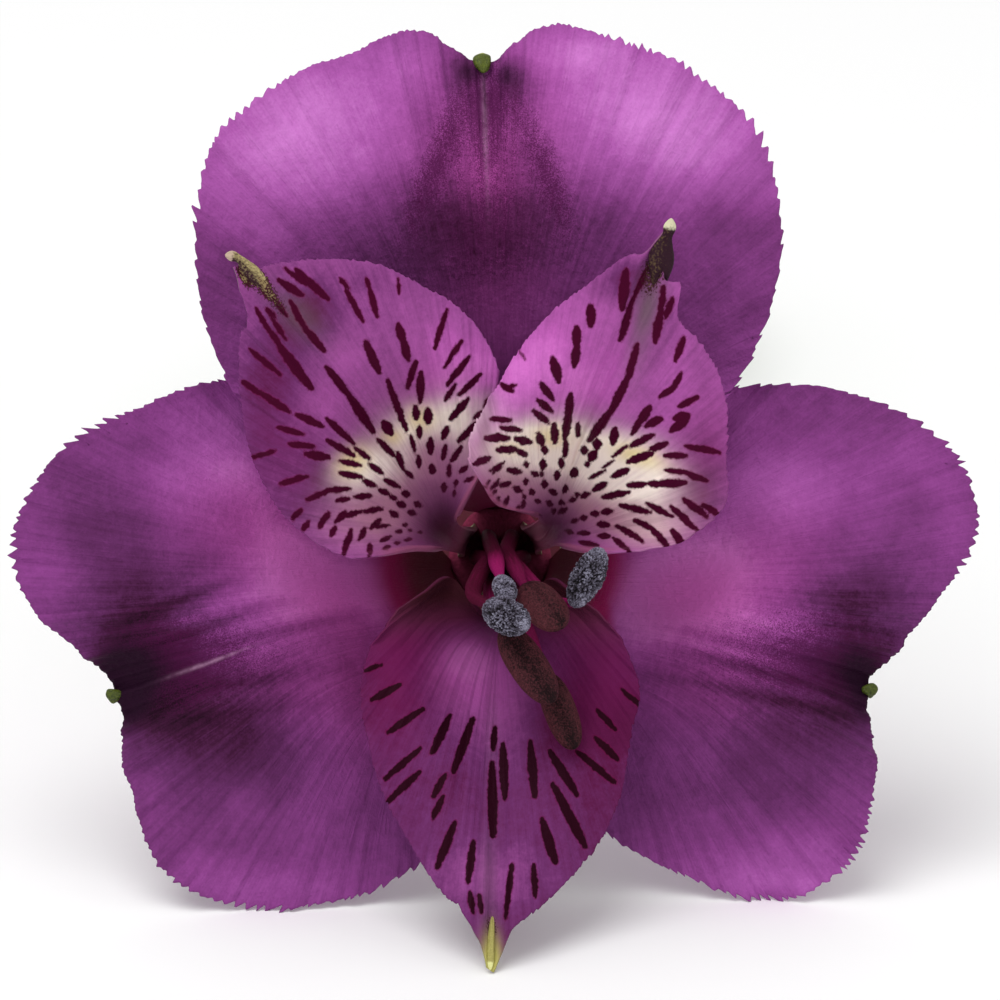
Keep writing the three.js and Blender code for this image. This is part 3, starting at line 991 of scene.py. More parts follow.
@dataclass(frozen=True)
class Tepal:
    """One tepal's form: the angle of its claw; its heart, the point its blade fans from; the angle of its
    tip and its spread to either side; its reach from the heart at even veins across; the point drawn out
    at its tip, with half its spread; its depth across at one third, two thirds and the margin; what picks
    its teeth and ruffles; how pale it is; the lobes of its margin; how far to either side of the tip the
    margin is nearly without teeth; and what its teeth are like."""

    name: str
    whorl: Whorl
    claw: float
    heart: tuple[float, float]
    tip: float
    spread: tuple[float, float]
    reach: tuple[float, ...]
    point: tuple[float, float]
    third: tuple[float, ...]
    two_thirds: tuple[float, ...]
    margin: tuple[float, ...]
    seed: int
    tone: float = 0.5
    lobes: tuple[Lobe, ...] = ()
    smooth: tuple[float, float] = (0, 0)
    teeth: Teeth = Teeth()

    def opening(self, across: Numbers) -> Numbers:
        """Returns the angle in degrees between each vein and the midrib."""
        side = np.where(across < 0, *self.spread)
        return side * across * (1 - VEIN_CROWDING + VEIN_CROWDING * np.abs(across))

    def toothed(self, across: Numbers) -> Numbers:
        """Works out how far the margin with its teeth goes beyond the reach of its veins.

        Args:
            across: places across, from -1 to 1.

        Returns:
            The length in millimetres at each of them, less than 0 in a dip.
        """
        jagged = np.interp(across, *self.teeth.levels(self))
        jagged += self.teeth.fringe * waves(across, 110, 2, self.seed + 7)
        swell = self.teeth.swell * self.whorl.ruffle * waves(across, 9, 3, self.seed + 1)
        quiet = 1 - np.exp(-((self.opening(across) / (self.point[1] + 0.5)) ** 2))
        lobes = sum(lobe.at(self.opening(across)) for lobe in self.lobes)
        return (jagged + swell) * quiet + lobes

    def bloom_surface(self, across: Numbers, along: Numbers, toothed: bool = False) -> Points:
        """Finds points of the middle surface in the bloom's frame.

        Args:
            across: from -1 to 1 between the tepal's edges, with 0 on the midrib.
            along: from 0 at the claw's foot to 1 at the margin.
            toothed: whether the veins run on to the teeth.

        Returns:
            Rows of right, up and out.
        """
        whorl = self.whorl
        place = (across + 1) / 2
        stations = []
        for station, (radius, half, out) in enumerate(whorl.claws, 1):
            angle = np.radians(self.claw + half * across)
            lift = whorl.channel * across**2 if station == len(whorl.claws) else 0 * across
            stations.append(np.stack([radius * np.cos(angle), radius * np.sin(angle), out + lift], 1))
        opening = self.opening(across)
        height, half = self.point
        drawn_out = height * np.maximum(0, 1 - np.abs(opening) / half) ** 2
        extra = drawn_out + (self.toothed(across) if toothed else 0)
        reach = spline(self.reach, place)
        for number, depths in enumerate((self.third, self.two_thirds, self.margin), 1):
            share = number / 3
            angle = np.radians(self.tip + opening * (1 - whorl.folded * (1 - share)))
            length = whorl.root + (reach - whorl.root) * share + (extra if number == 3 else 0)
            right = self.heart[0] + length * np.cos(angle)
            up = self.heart[1] + length * np.sin(angle)
            stations.append(np.stack([right, up, spline(depths, place)], 1))
        return spline(np.stack(stations), along)

    def surface(self, across: Numbers, along: Numbers, toothed: bool = False) -> Points:
        """Returns points of the middle surface in the part's frame."""
        return bloom_points(self.bloom_surface(across, along, toothed))

    def relief(self, blade: Blade) -> Numbers:
        """Works out the ruffle of the margin, the pleats and the crease of the midrib.

        Args:
            blade: the samples.

        Returns:
            How far each of them stands out of the middle surface.
        """
        whorl = self.whorl
        near_margin = soft_step(0.72, 1.0, blade.along)
        rippled = waves(blade.across, 11, 4, self.seed + 2) * whorl.ruffle * near_margin
        pleats = waves(blade.across, 17, 3, self.seed + 3) * PLEAT_HEIGHT * soft_step(0.4, 0.7, blade.along)
        crease = np.exp(-((self.opening(blade.across) / CREASE_HALF) ** 2))
        return rippled + pleats - CREASE_DEPTH * crease * soft_step(0.45, 0.6, blade.along)

    def thickness(self, blade: Blade) -> Numbers:
        """Works out the blade's thickness, which is greatest on the claw and the midrib.

        Args:
            blade: the samples.

        Returns:
            The thickness at each of them.
        """
        whorl = self.whorl
        thin = whorl.thick + (whorl.thin - whorl.thick) * soft_step(0.35, 1.0, blade.along)
        midrib = 0.12 * np.exp(-((self.opening(blade.across) / 3) ** 2)) * (1 - blade.along)
        return thin + midrib

    def grain(self, blade: Blade) -> Points:
        """Works out texture coordinates that run along the veins.

        Args:
            blade: the samples.

        Returns:
            For each of them the degrees from the midrib, the millimetres along, and the tepal.
        """
        middle = self.bloom_surface(blade.across, blade.along)
        run = np.hypot(middle[:, 0] - self.heart[0], middle[:, 1] - self.heart[1]) + middle[:, 2] * 0.5
        return np.stack([self.opening(blade.across), run, np.full(len(run), 7.3 * self.seed)], 1)

    def build(self, paint: Callable[["Tepal", Blade, Points], dict[str, Numbers]]) -> Skin:
        """Makes the tepal's mesh.

        Args:
            paint: gives the marks of the upper side for the samples and their places on the plan.

        Returns:
            The mesh with its marks.
        """
        blade = Blade.lattice(self.whorl.bands)
        skin = blade.shell(self.surface, self.relief(blade), self.thickness(blade))
        places = plan_places(self.bloom_surface(blade.across, blade.along, True))
        marks = paint(self, blade, places) | {"grain": self.grain(blade), "foot": 0 * blade.along}
        rib = np.exp(-((self.opening(blade.across) / 2.5) ** 2)) * soft_step(0.45, 0.95, blade.along)
        foot = np.maximum(1 - soft_step(0.04, 0.26, blade.along), 0.7 * rib)
        bare = {name: 0 * foot for name in ("hollow", "dusk", "midrib") if name in marks}
        under = marks | bare | {"foot": foot}
        return skin.mark(**{name: np.concatenate([under[name], marks[name]]) for name in marks})


@dataclass(frozen=True)
class Spur:
    """The thick, rolled end of a tepal: the tepal's name, its path, its radius along that, how flat it is,
    how much it is pinched, its tone, how much lighter its right side is and what share of it rounds off
    each end."""

    tepal: str
    path: Points
    girth: tuple[float, ...]
    flat: float = 0.7
    pinch: float = 0.12
    tone: float = 0.4
    sided: float = 0.0
    rounding: float = 0.1

    def build(self, ending: str, slot: Slot, material: bpy.types.Material) -> None:
        """Makes the spur.

        Args:
            ending: what its name adds to the tepal's.
            slot: the slot that its finish comes from.
            material: its material.
        """

        def girth(place: Numbers, turn: Numbers) -> Numbers:
            """Gives the spur its taper and uneven sides.

            Args:
                place: the place of each point along it.
                turn: its turn in radians.

            Returns:
                The radius at each point.
            """
            uneven = 1 + self.pinch * (np.cos(3 * turn + 5 * place) + 0.6 * np.cos(5 * turn - 9 * place))
            end = np.clip(np.minimum(place, 1 - place) / self.rounding, 0, 1)
            closed = np.sqrt(np.maximum(end * (2 - end), 0.0004))
            flattened = 1 / np.hypot(np.cos(turn), np.sin(turn) / self.flat)
            return spline(self.girth, place) * uneven * closed * flattened

        skin, place, turn = limb(bloom_points(np.array(self.path)), 48, 28, girth, ends=0.5)
        tone = self.tone - 0.12 * np.sin(turn) + self.sided * np.cos(turn)
        skin.mark(tone=tone, tip=soft_step(0.78, 0.93, place), grain=fibres(place, turn, 12, 6))
        skin.piece(self.tepal + ending, slot, material, self.tepal)


@dataclass(frozen=True)
class OuterTepals:
    """The three broad outer tepals."""

    finish: OuterFinish = OuterFinish()
    tip_girth: tuple[float, ...] = (0.44, 0.58, 0.62, 0.4)
    forms: tuple[Tepal, ...] = (
        Tepal(
            name="tepal_outer_top", whorl=OUTER, claw=UPRIGHT, heart=(0, 0), tip=92, spread=(57, 56),
            reach=(19.6, 29.2, 34.9, 36.9, 37.5, 37.7, 34.9, 37.7, 37.2, 36.9, 35.4, 29.8, 22.4),
            point=(0.6, 2),
            third=(-11, -8, -8.6, -8, -11),
            two_thirds=(-7.5, -3.4, -4, -3.4, -7.5),
            margin=(-6.3, -4.2, -3.2, -6, -3.2, -4.2, -6.3),
            seed=11,
            smooth=(7, 21),
        ),
        Tepal(
            name="tepal_outer_left", whorl=OUTER, claw=210, heart=(0, 0), tip=199.5, spread=(56, 59.5),
            reach=(22.0, 27.0, 32.0, 34.2, 33.4, 30.1, 28.6, 29.8, 31.2, 32.3, 30.1, 26.1, 20.8),
            point=(0.6, 2.2),
            third=(-12.5, -8.6, -8.6, -8.4, -12),
            two_thirds=(-10.5, -4.6, -4.4, -4.6, -9),
            margin=(-9.6, -5.6, -4.4, -7, -5.6, -6.6, -7.6),
            seed=23,
            smooth=(12, 20),
        ),
        Tepal(
            name="tepal_outer_right", whorl=OUTER, claw=330, heart=(0, 0), tip=340.5, spread=(52.5, 59),
            reach=(19.0, 25.4, 31.2, 32.6, 31.3, 29.3, 27.4, 28.8, 31.2, 33.8, 32.2, 26.6, 18.6),
            point=(0.6, 2.2),
            third=(-12, -8.4, -8.6, -8.6, -12.5),
            two_thirds=(-9.5, -5.2, -4.4, -4.6, -10.5),
            margin=(-8.6, -8.3, -6.4, -7, -4.4, -5.6, -9.6),
            seed=37,
            smooth=(9, 15),
        ),
    )
    # The tepals' tone, lighter and darker: partly their own paler and darker colour, partly painted light and
    # painted shade where a tepal faces the light or turns away from it, and painted light that lifts the
    # shade near the inner tepals.
    tones: Patches = patches(
        (305, 130, 130, 100, 0.44, -25), (655, 110, 145, 90, 0.44, 20), (460, 245, 120, 55, -0.2),
        (487, 150, 45, 90, -0.06), (487, 182, 40, 22, 0.14), (462, 74, 18, 24, -0.3),
        (464, 122, 24, 30, 0.08), (505, 310, 40, 40, 0.05), (482, 160, 22, 40, 0.1),
        (686, 152, 50, 26, 0.07), (516, 84, 22, 26, -0.28), (408, 62, 24, 34, 0.1),
        (432, 115, 26, 32, -0.1), (388, 190, 28, 28, -0.05), (434, 205, 30, 44, -0.1, 10),
        (548, 205, 26, 44, -0.08, -10), (738, 230, 36, 26, -0.12), (606, 216, 26, 18, -0.08),
        (240, 266, 16, 18, -0.1), (225, 190, 26, 40, 0.06), (430, 176, 16, 26, 0.08),
        (556, 182, 16, 24, 0.08), (215, 255, 34, 50, -0.1), (570, 52, 45, 20, 0.18),
        (205, 475, 80, 45, 0.3, -20), (232, 405, 16, 28, 0.16), (268, 516, 26, 54, 0.28, -35),
        (378, 596, 24, 54, 0.28), (305, 578, 78, 44, 0.6, 10), (195, 575, 50, 30, -0.12, -20),
        (128, 598, 42, 34, -0.2), (152, 448, 36, 24, -0.08), (150, 700, 40, 34, -0.14),
        (245, 645, 60, 36, 0.24, -8), (250, 760, 75, 40, -0.15), (160, 418, 55, 24, 0.12),
        (342, 690, 50, 80, 0.22), (138, 662, 45, 46, -0.4, -10), (180, 680, 80, 50, -0.24, -10),
        (205, 725, 75, 45, -0.17), (372, 690, 30, 60, -0.12), (112, 528, 54, 48, -0.18),
        (50, 578, 40, 34, 0.1), (262, 888, 120, 28, 0.16), (775, 490, 85, 42, 0.27),
        (742, 412, 26, 26, 0.22), (922, 452, 42, 32, 0.1), (680, 578, 85, 46, 0.66, -12),
        (850, 606, 56, 34, -0.14, 12), (772, 636, 70, 38, 0.16), (680, 630, 84, 26, 0.2, 8),
        (636, 645, 34, 26, 0.16), (700, 595, 60, 40, 0.14), (850, 604, 44, 26, -0.08),
        (750, 572, 60, 20, 0.06), (874, 576, 40, 26, -0.08), (950, 520, 26, 42, 0.1),
        (775, 672, 50, 20, -0.06, 12), (690, 700, 55, 45, 0.04), (858, 668, 42, 44, -0.36, 10),
        (812, 712, 72, 42, -0.16), (778, 860, 120, 44, 0.22), (790, 885, 90, 18, 0.16),
        (720, 780, 80, 45, -0.06), (788, 768, 60, 42, -0.1), (748, 838, 80, 34, -0.07),
        (905, 530, 34, 40, -0.04), (520, 310, 80, 50, 0.14),
    )
    # Painted shade in the folds that run from the lower tepals' tips towards the throat, and painted light on
    # the ridges between them.
    painted_fold_shading: Patches = patches(
        (722, 640, 78, 6, -0.17, 14), (735, 653, 60, 6, 0.13, 14), (750, 668, 64, 6, -0.18, 15),
        (765, 682, 70, 5, 0.08, 14), (765, 698, 90, 6, -0.16, 12), (770, 624, 56, 7, 0.1, 14),
        (796, 645, 50, 6, -0.12, 17), (178, 602, 64, 6, -0.2, -21), (208, 612, 60, 6, 0.1, -20),
        (208, 628, 75, 6, -0.18, -19), (285, 618, 60, 6, 0.08, -12), (278, 632, 82, 6, -0.17, -11),
        (240, 682, 86, 7, -0.14, -8), (245, 712, 92, 7, -0.06, -8),
    )
    nights: Patches = patches(
        (468, 74, 14, 13, 0.7), (508, 76, 15, 15, 0.7), (124, 672, 34, 36, 1.0, 20),
        (126, 706, 20, 32, 0.6), (150, 680, 60, 34, 0.35, -10), (862, 668, 22, 34, 0.6, -20),
        (864, 706, 18, 30, 0.5), (835, 672, 56, 34, 0.35, 14),
    )
    roses: Patches = patches(
        (250, 520, 80, 60, 0.5, -20), (330, 600, 70, 70, 0.62), (372, 690, 40, 70, 0.6),
        (690, 600, 80, 60, 0.6), (780, 560, 70, 60, 0.25), (720, 690, 90, 40, 0.35),
        (270, 690, 90, 40, 0.35), (487, 200, 70, 130, 0.7),
    )
    dusks: Patches = patches(
        (487, 100, 32, 55, 0.8), (490, 225, 95, 110, 0.65), (434, 165, 17, 80, 0.6, 20),
        (546, 165, 17, 80, 0.55, -20), (150, 650, 90, 58, 0.66, -12), (230, 668, 125, 56, 0.55, -14),
        (842, 650, 85, 58, 0.64, 14), (755, 662, 130, 56, 0.55, 14),
    )
    midribs: Patches = patches(
        (487, 120, 12, 60, 0.25), (208, 660, 38, 20, 0.42),
    )
    # How much of the throat's maroon and painted shade the upright tepal's claw takes; the other claws take
    # all of it.
    top_claw: float = 0.68
    # Where the two lower tepals turn into the throat: the places on the plan where they begin to turn wine
    # red and are wine red, and where the throat's maroon with painted shade begins and is full; and how far
    # up and down it reaches.
    left_turn: tuple[float, ...] = (386, 412, 426, 486)
    right_turn: tuple[float, ...] = (628, 602, 592, 532)
    turn_top: tuple[float, float] = (530, 550)
    turn_foot: tuple[float, float] = (640, 690)

    def paint(self, tepal: Tepal, blade: Blade, places: Points) -> dict[str, Numbers]:
        """Gives an outer tepal its marks.

        Args:
            tepal: the tepal.
            blade: its samples.
            places: their places on the plan.

        Returns:
            The marks by name.
        """
        # The claws, deep in the throat, take its maroon and painted shade; the upright one takes less.
        deepest = self.top_claw if tepal.claw == UPRIGHT else 1.0
        claw = deepest * (1 - soft_step(0.3, 0.5, blade.along))
        midrib = np.exp(-((tepal.opening(blade.across) / 0.35) ** 2))
        side, down = places.T
        # The lower tepals turn wine red, then take the throat's maroon with painted shade where they meet the
        # throat.
        left, right = (
            soft_step(begins, wine, side) + soft_step(dims, hollow, side)
            for begins, wine, dims, hollow in (self.left_turn, self.right_turn)
        )
        level = soft_step(*self.turn_top, down) * (1 - soft_step(*self.turn_foot, down))
        turned = np.where(side < PLAN_AXIS[0], left, right) / 2 * level
        return {
            # The tone: the tepal's own colour with painted light and shade, and painted shade in the folds.
            "tone": tepal.tone + patched(self.tones, places) + patched(self.painted_fold_shading, places),
            "rose": patched(self.roses, places),
            "dusk": patched(self.dusks, places),
            "night": patched(self.nights, places),
            "hollow": np.maximum(claw, turned),
            "midrib": midrib * patched(self.midribs, places),
        }

    def build(self) -> None:
        """Makes the three tepals."""
        material = self.finish.material()
        green = PlainFinish(
            "petal_tip", 0x687420, 0x1C2606, streak=(3, 1, 1), speckle=9, contrast=1.4, tip=0xA8AC48
        ).material()
        for form in self.forms:
            form.build(self.paint).piece(form.name + "_petal", Slot.OUTER, material, form.name)
            middle = form.bloom_surface(np.zeros(3), np.array([0.976, 0.988, 1.0]))
            path = np.append(middle, [1.5 * middle[2] - 0.5 * middle[1]], 0)
            Spur(form.name, path, self.tip_girth, 0.6, rounding=0.4).build("_tip", Slot.OUTER, green)


# The dashes of the inner tepals: for each the steps of its two ends on the plan, and its width.
LEFT_DASHES = (
    (279, 280, 302, 295, 6.5), (285, 268, 306, 285, 4), (295, 269, 328, 300, 6), (340, 278, 348, 288, 4.5),
    (346, 290, 363, 321, 4.5), (366, 278, 369, 288, 4), (369, 288, 377, 317, 5), (447, 310, 434, 348, 4.5),
    (461, 340, 444, 367, 4), (469, 356, 447, 384, 5), (481, 374, 459, 394, 5), (455, 384, 445, 399, 4.5),
    (492, 397, 485, 405, 5), (398, 324, 404, 344, 7), (403, 340, 408, 359, 7), (416, 361, 407, 386, 5.5),
    (421, 372, 420, 400, 6.5), (365, 341, 379, 372, 7), (387, 379, 406, 430, 5.5),
    (327, 367, 350, 397, 6.5), (350, 397, 373, 432, 8), (383, 422, 390, 432, 10), (303, 326, 324, 350, 6),
    (290, 301, 305, 329, 5), (240, 266, 249, 285, 7), (272, 318, 286, 339, 4), (256, 308, 271, 334, 4.5),
    (272, 296, 287, 316, 4), (266, 308, 276, 317, 4.5), (259, 283, 268, 299, 4), (270, 330, 280, 346, 5),
    (279, 345, 310, 388, 8.5), (249, 349, 281, 375, 4.5), (243, 381, 266, 396, 5), (262, 393, 289, 411, 6),
    (296, 414, 321, 426, 6), (325, 418, 352, 443, 5.5), (278, 427, 303, 434, 5), (289, 444, 313, 446, 5.5),
    (306, 454, 327, 457, 7.5), (326, 440, 353, 456, 5.5), (353, 448, 368, 459, 4.5),
    (339, 461, 359, 465, 5), (368, 464, 380, 473, 5.5), (252, 458, 276, 450, 4.5), (280, 483, 307, 476, 5),
    (338, 473, 359, 477, 5.5), (363, 481, 373, 486, 6), (377, 440, 394, 456, 6), (397, 452, 402, 469, 5),
    (383, 480, 397, 487, 5), (307, 499, 328, 490, 5), (326, 490, 348, 489, 5), (336, 500, 347, 499, 5),
    (354, 497, 369, 496, 5.5), (378, 490, 387, 494, 5.5), (389, 497, 394, 499, 5),
    (401, 494, 407, 494, 6.5), (396, 504, 402, 506, 7), (406, 472, 411, 477, 6), (413, 504, 418, 506, 6),
    (407, 513, 412, 514, 6.5), (389, 513, 395, 517, 6.5), (415, 406, 416, 418, 7), (428, 409, 428, 421, 9),
    (419, 426, 419, 436, 6), (410, 434, 414, 450, 4), (430, 438, 430, 452, 7), (418, 456, 418, 466, 5.5),
    (432, 465, 432, 471, 8), (468, 398, 451, 418, 6), (448, 426, 443, 437, 6), (446, 445, 443, 458, 5),
    (462, 446, 452, 460, 5), (450, 465, 450, 475, 5), (445, 483, 445, 489, 6), (457, 480, 457, 484, 5),
    (456, 490, 456, 495, 3.5), (478, 421, 459, 440, 5.5), (486, 410, 475, 417, 5.5),
    (468, 466, 461, 471, 5), (475, 477, 467, 481, 4.5), (301, 509, 292, 520, 5), (309, 521, 302, 530, 5),
    (328, 512, 319, 527, 5.5), (344, 512, 335, 522, 6), (344, 516, 359, 512, 5), (363, 512, 380, 509, 5),
    (335, 527, 330, 535, 5.5), (350, 530, 343, 555, 5.5), (364, 529, 358, 540, 5),
    (378, 520, 370, 529, 5.5), (375, 528, 387, 526, 3.5), (369, 545, 369, 557, 5),
    (388, 538, 380, 542, 4.5), (383, 550, 388, 548, 5), (395, 533, 400, 533, 4), (404, 542, 409, 541, 4),
    (394, 545, 398, 545, 4), (402, 526, 404, 526, 4.5), (407, 532, 409, 532, 4), (417, 534, 419, 534, 3.5),
    (398, 278, 399, 294, 2.5),
)
RIGHT_DASHES = (
    (591, 306, 591, 325, 8), (577, 327, 576, 345, 7.5), (577, 342, 574, 365, 7), (553, 358, 558, 380, 8),
    (540, 382, 552, 398, 6.5), (537, 399, 551, 410, 6), (533, 410, 547, 421, 6.5), (553, 423, 554, 441, 7),
    (570, 393, 567, 418, 7), (568, 410, 564, 437, 7), (577, 422, 578, 436, 5.5), (638, 344, 628, 380, 6),
    (628, 378, 612, 412, 7), (612, 410, 591, 440, 7), (634, 368, 626, 384, 4), (599, 440, 598, 446, 9),
    (586, 448, 586, 452, 8.5), (596, 451, 592, 458, 9), (589, 462, 589, 465, 5.5), (616, 428, 614, 442, 8),
    (650, 406, 640, 422, 8), (642, 418, 633, 433, 6), (661, 418, 647, 425, 7.5), (681, 373, 673, 389, 5.5),
    (674, 387, 660, 396, 6), (697, 397, 679, 406, 6), (688, 414, 675, 418, 8), (688, 417, 672, 430, 8),
    (684, 337, 675, 360, 5.5), (673, 297, 665, 318, 5.5), (664, 286, 660, 318, 5), (661, 310, 655, 341, 7),
    (626, 270, 622, 308, 8), (648, 268, 633, 300, 5), (633, 298, 620, 341, 5.5), (654, 434, 632, 445, 6),
    (667, 443, 651, 449, 6.5), (652, 453, 630, 461, 7), (628, 445, 614, 456, 3.5),
    (629, 469, 614, 476, 6.5), (615, 460, 604, 467, 2.5), (606, 470, 591, 477, 3.5),
    (686, 446, 720, 452, 5), (666, 455, 686, 455, 5.5), (666, 470, 688, 472, 4), (684, 471, 707, 481, 5.5),
    (630, 485, 646, 484, 6), (649, 483, 664, 484, 5.5), (660, 483, 686, 482, 7), (605, 497, 630, 492, 5.5),
    (622, 505, 652, 512, 5), (648, 503, 673, 516, 5), (672, 506, 699, 532, 5.5), (684, 499, 708, 517, 5.5),
    (703, 504, 721, 516, 5.5), (673, 531, 684, 547, 7), (637, 520, 654, 530, 5.5),
    (652, 528, 669, 548, 5.5), (619, 526, 643, 542, 5.5), (615, 540, 630, 553, 5), (601, 537, 611, 538, 7),
    (600, 524, 610, 525, 6.5), (604, 512, 614, 511, 6), (594, 514, 600, 514, 6), (584, 519, 588, 518, 6),
    (575, 522, 579, 521, 5), (581, 534, 591, 534, 5.5), (582, 545, 598, 548, 5.5),
    (569, 532, 575, 534, 4.5), (590, 493, 584, 496, 6), (607, 483, 596, 489, 7), (577, 470, 575, 475, 9),
    (567, 486, 566, 491, 8), (560, 458, 561, 466, 6), (565, 440, 564, 455, 5.5), (556, 471, 556, 477, 7),
    (542, 460, 541, 467, 7.5), (543, 481, 543, 485, 8), (524, 461, 525, 465, 5.5),
    (543, 446, 544, 451, 6.5), (537, 433, 541, 443, 8), (515, 438, 529, 441, 7), (486, 437, 507, 437, 7),
    (501, 427, 520, 429, 5.5), (491, 419, 510, 419, 5), (497, 449, 515, 448, 6.5), (516, 450, 525, 454, 6),
    (507, 469, 519, 471, 5.5), (531, 472, 536, 474, 5), (539, 472, 541, 474, 4.5), (524, 479, 524, 482, 6),
    (508, 482, 499, 485, 5.5), (513, 487, 519, 490, 6), (529, 490, 531, 493, 6), (549, 489, 555, 492, 5.5),
    (500, 383, 513, 391, 5), (510, 386, 516, 385, 4.5), (489, 457, 473, 464, 6), (500, 465, 491, 472, 3.5),
    (503, 461, 489, 470, 3), (497, 479, 489, 490, 3.5), (488, 480, 484, 488, 2.5), (494, 490, 489, 496, 3),
    (497, 497, 494, 505, 3.5), (506, 496, 501, 509, 3.5), (517, 506, 515, 512, 4), (522, 500, 520, 508, 4),
    (519, 350, 525, 359, 2), (560, 500, 566, 503, 5), (572, 500, 577, 498, 4.5), (545, 501, 551, 503, 5),
    (534, 500, 538, 501, 4.5), (552, 509, 556, 510, 5), (562, 512, 568, 508, 5), (522, 495, 523, 497, 4.5),
    (576, 494, 581, 494, 4),
)
LOW_DASHES = (
    (363, 672, 382, 665, 4.5), (372, 700, 400, 685, 6), (388, 733, 422, 710, 6), (385, 779, 420, 749, 6),
    (388, 802, 420, 772, 6), (432, 753, 449, 717, 7.5), (453, 772, 472, 720, 7.5), (433, 797, 445, 775, 6),
    (433, 818, 443, 797, 6), (438, 868, 455, 822, 6.5), (468, 882, 473, 842, 6), (473, 912, 470, 892, 5),
    (481, 913, 479, 895, 4), (493, 750, 495, 728, 6), (493, 835, 492, 763, 8), (505, 798, 503, 745, 7.5),
    (535, 797, 531, 743, 7.5), (577, 795, 550, 752, 7.5), (585, 847, 553, 785, 8), (555, 862, 542, 820, 8),
    (512, 865, 505, 918, 5.5), (533, 865, 535, 897, 5), (615, 783, 577, 752, 6), (618, 760, 595, 738, 6),
    (615, 730, 597, 710, 5), (643, 708, 622, 690, 4.5),
)


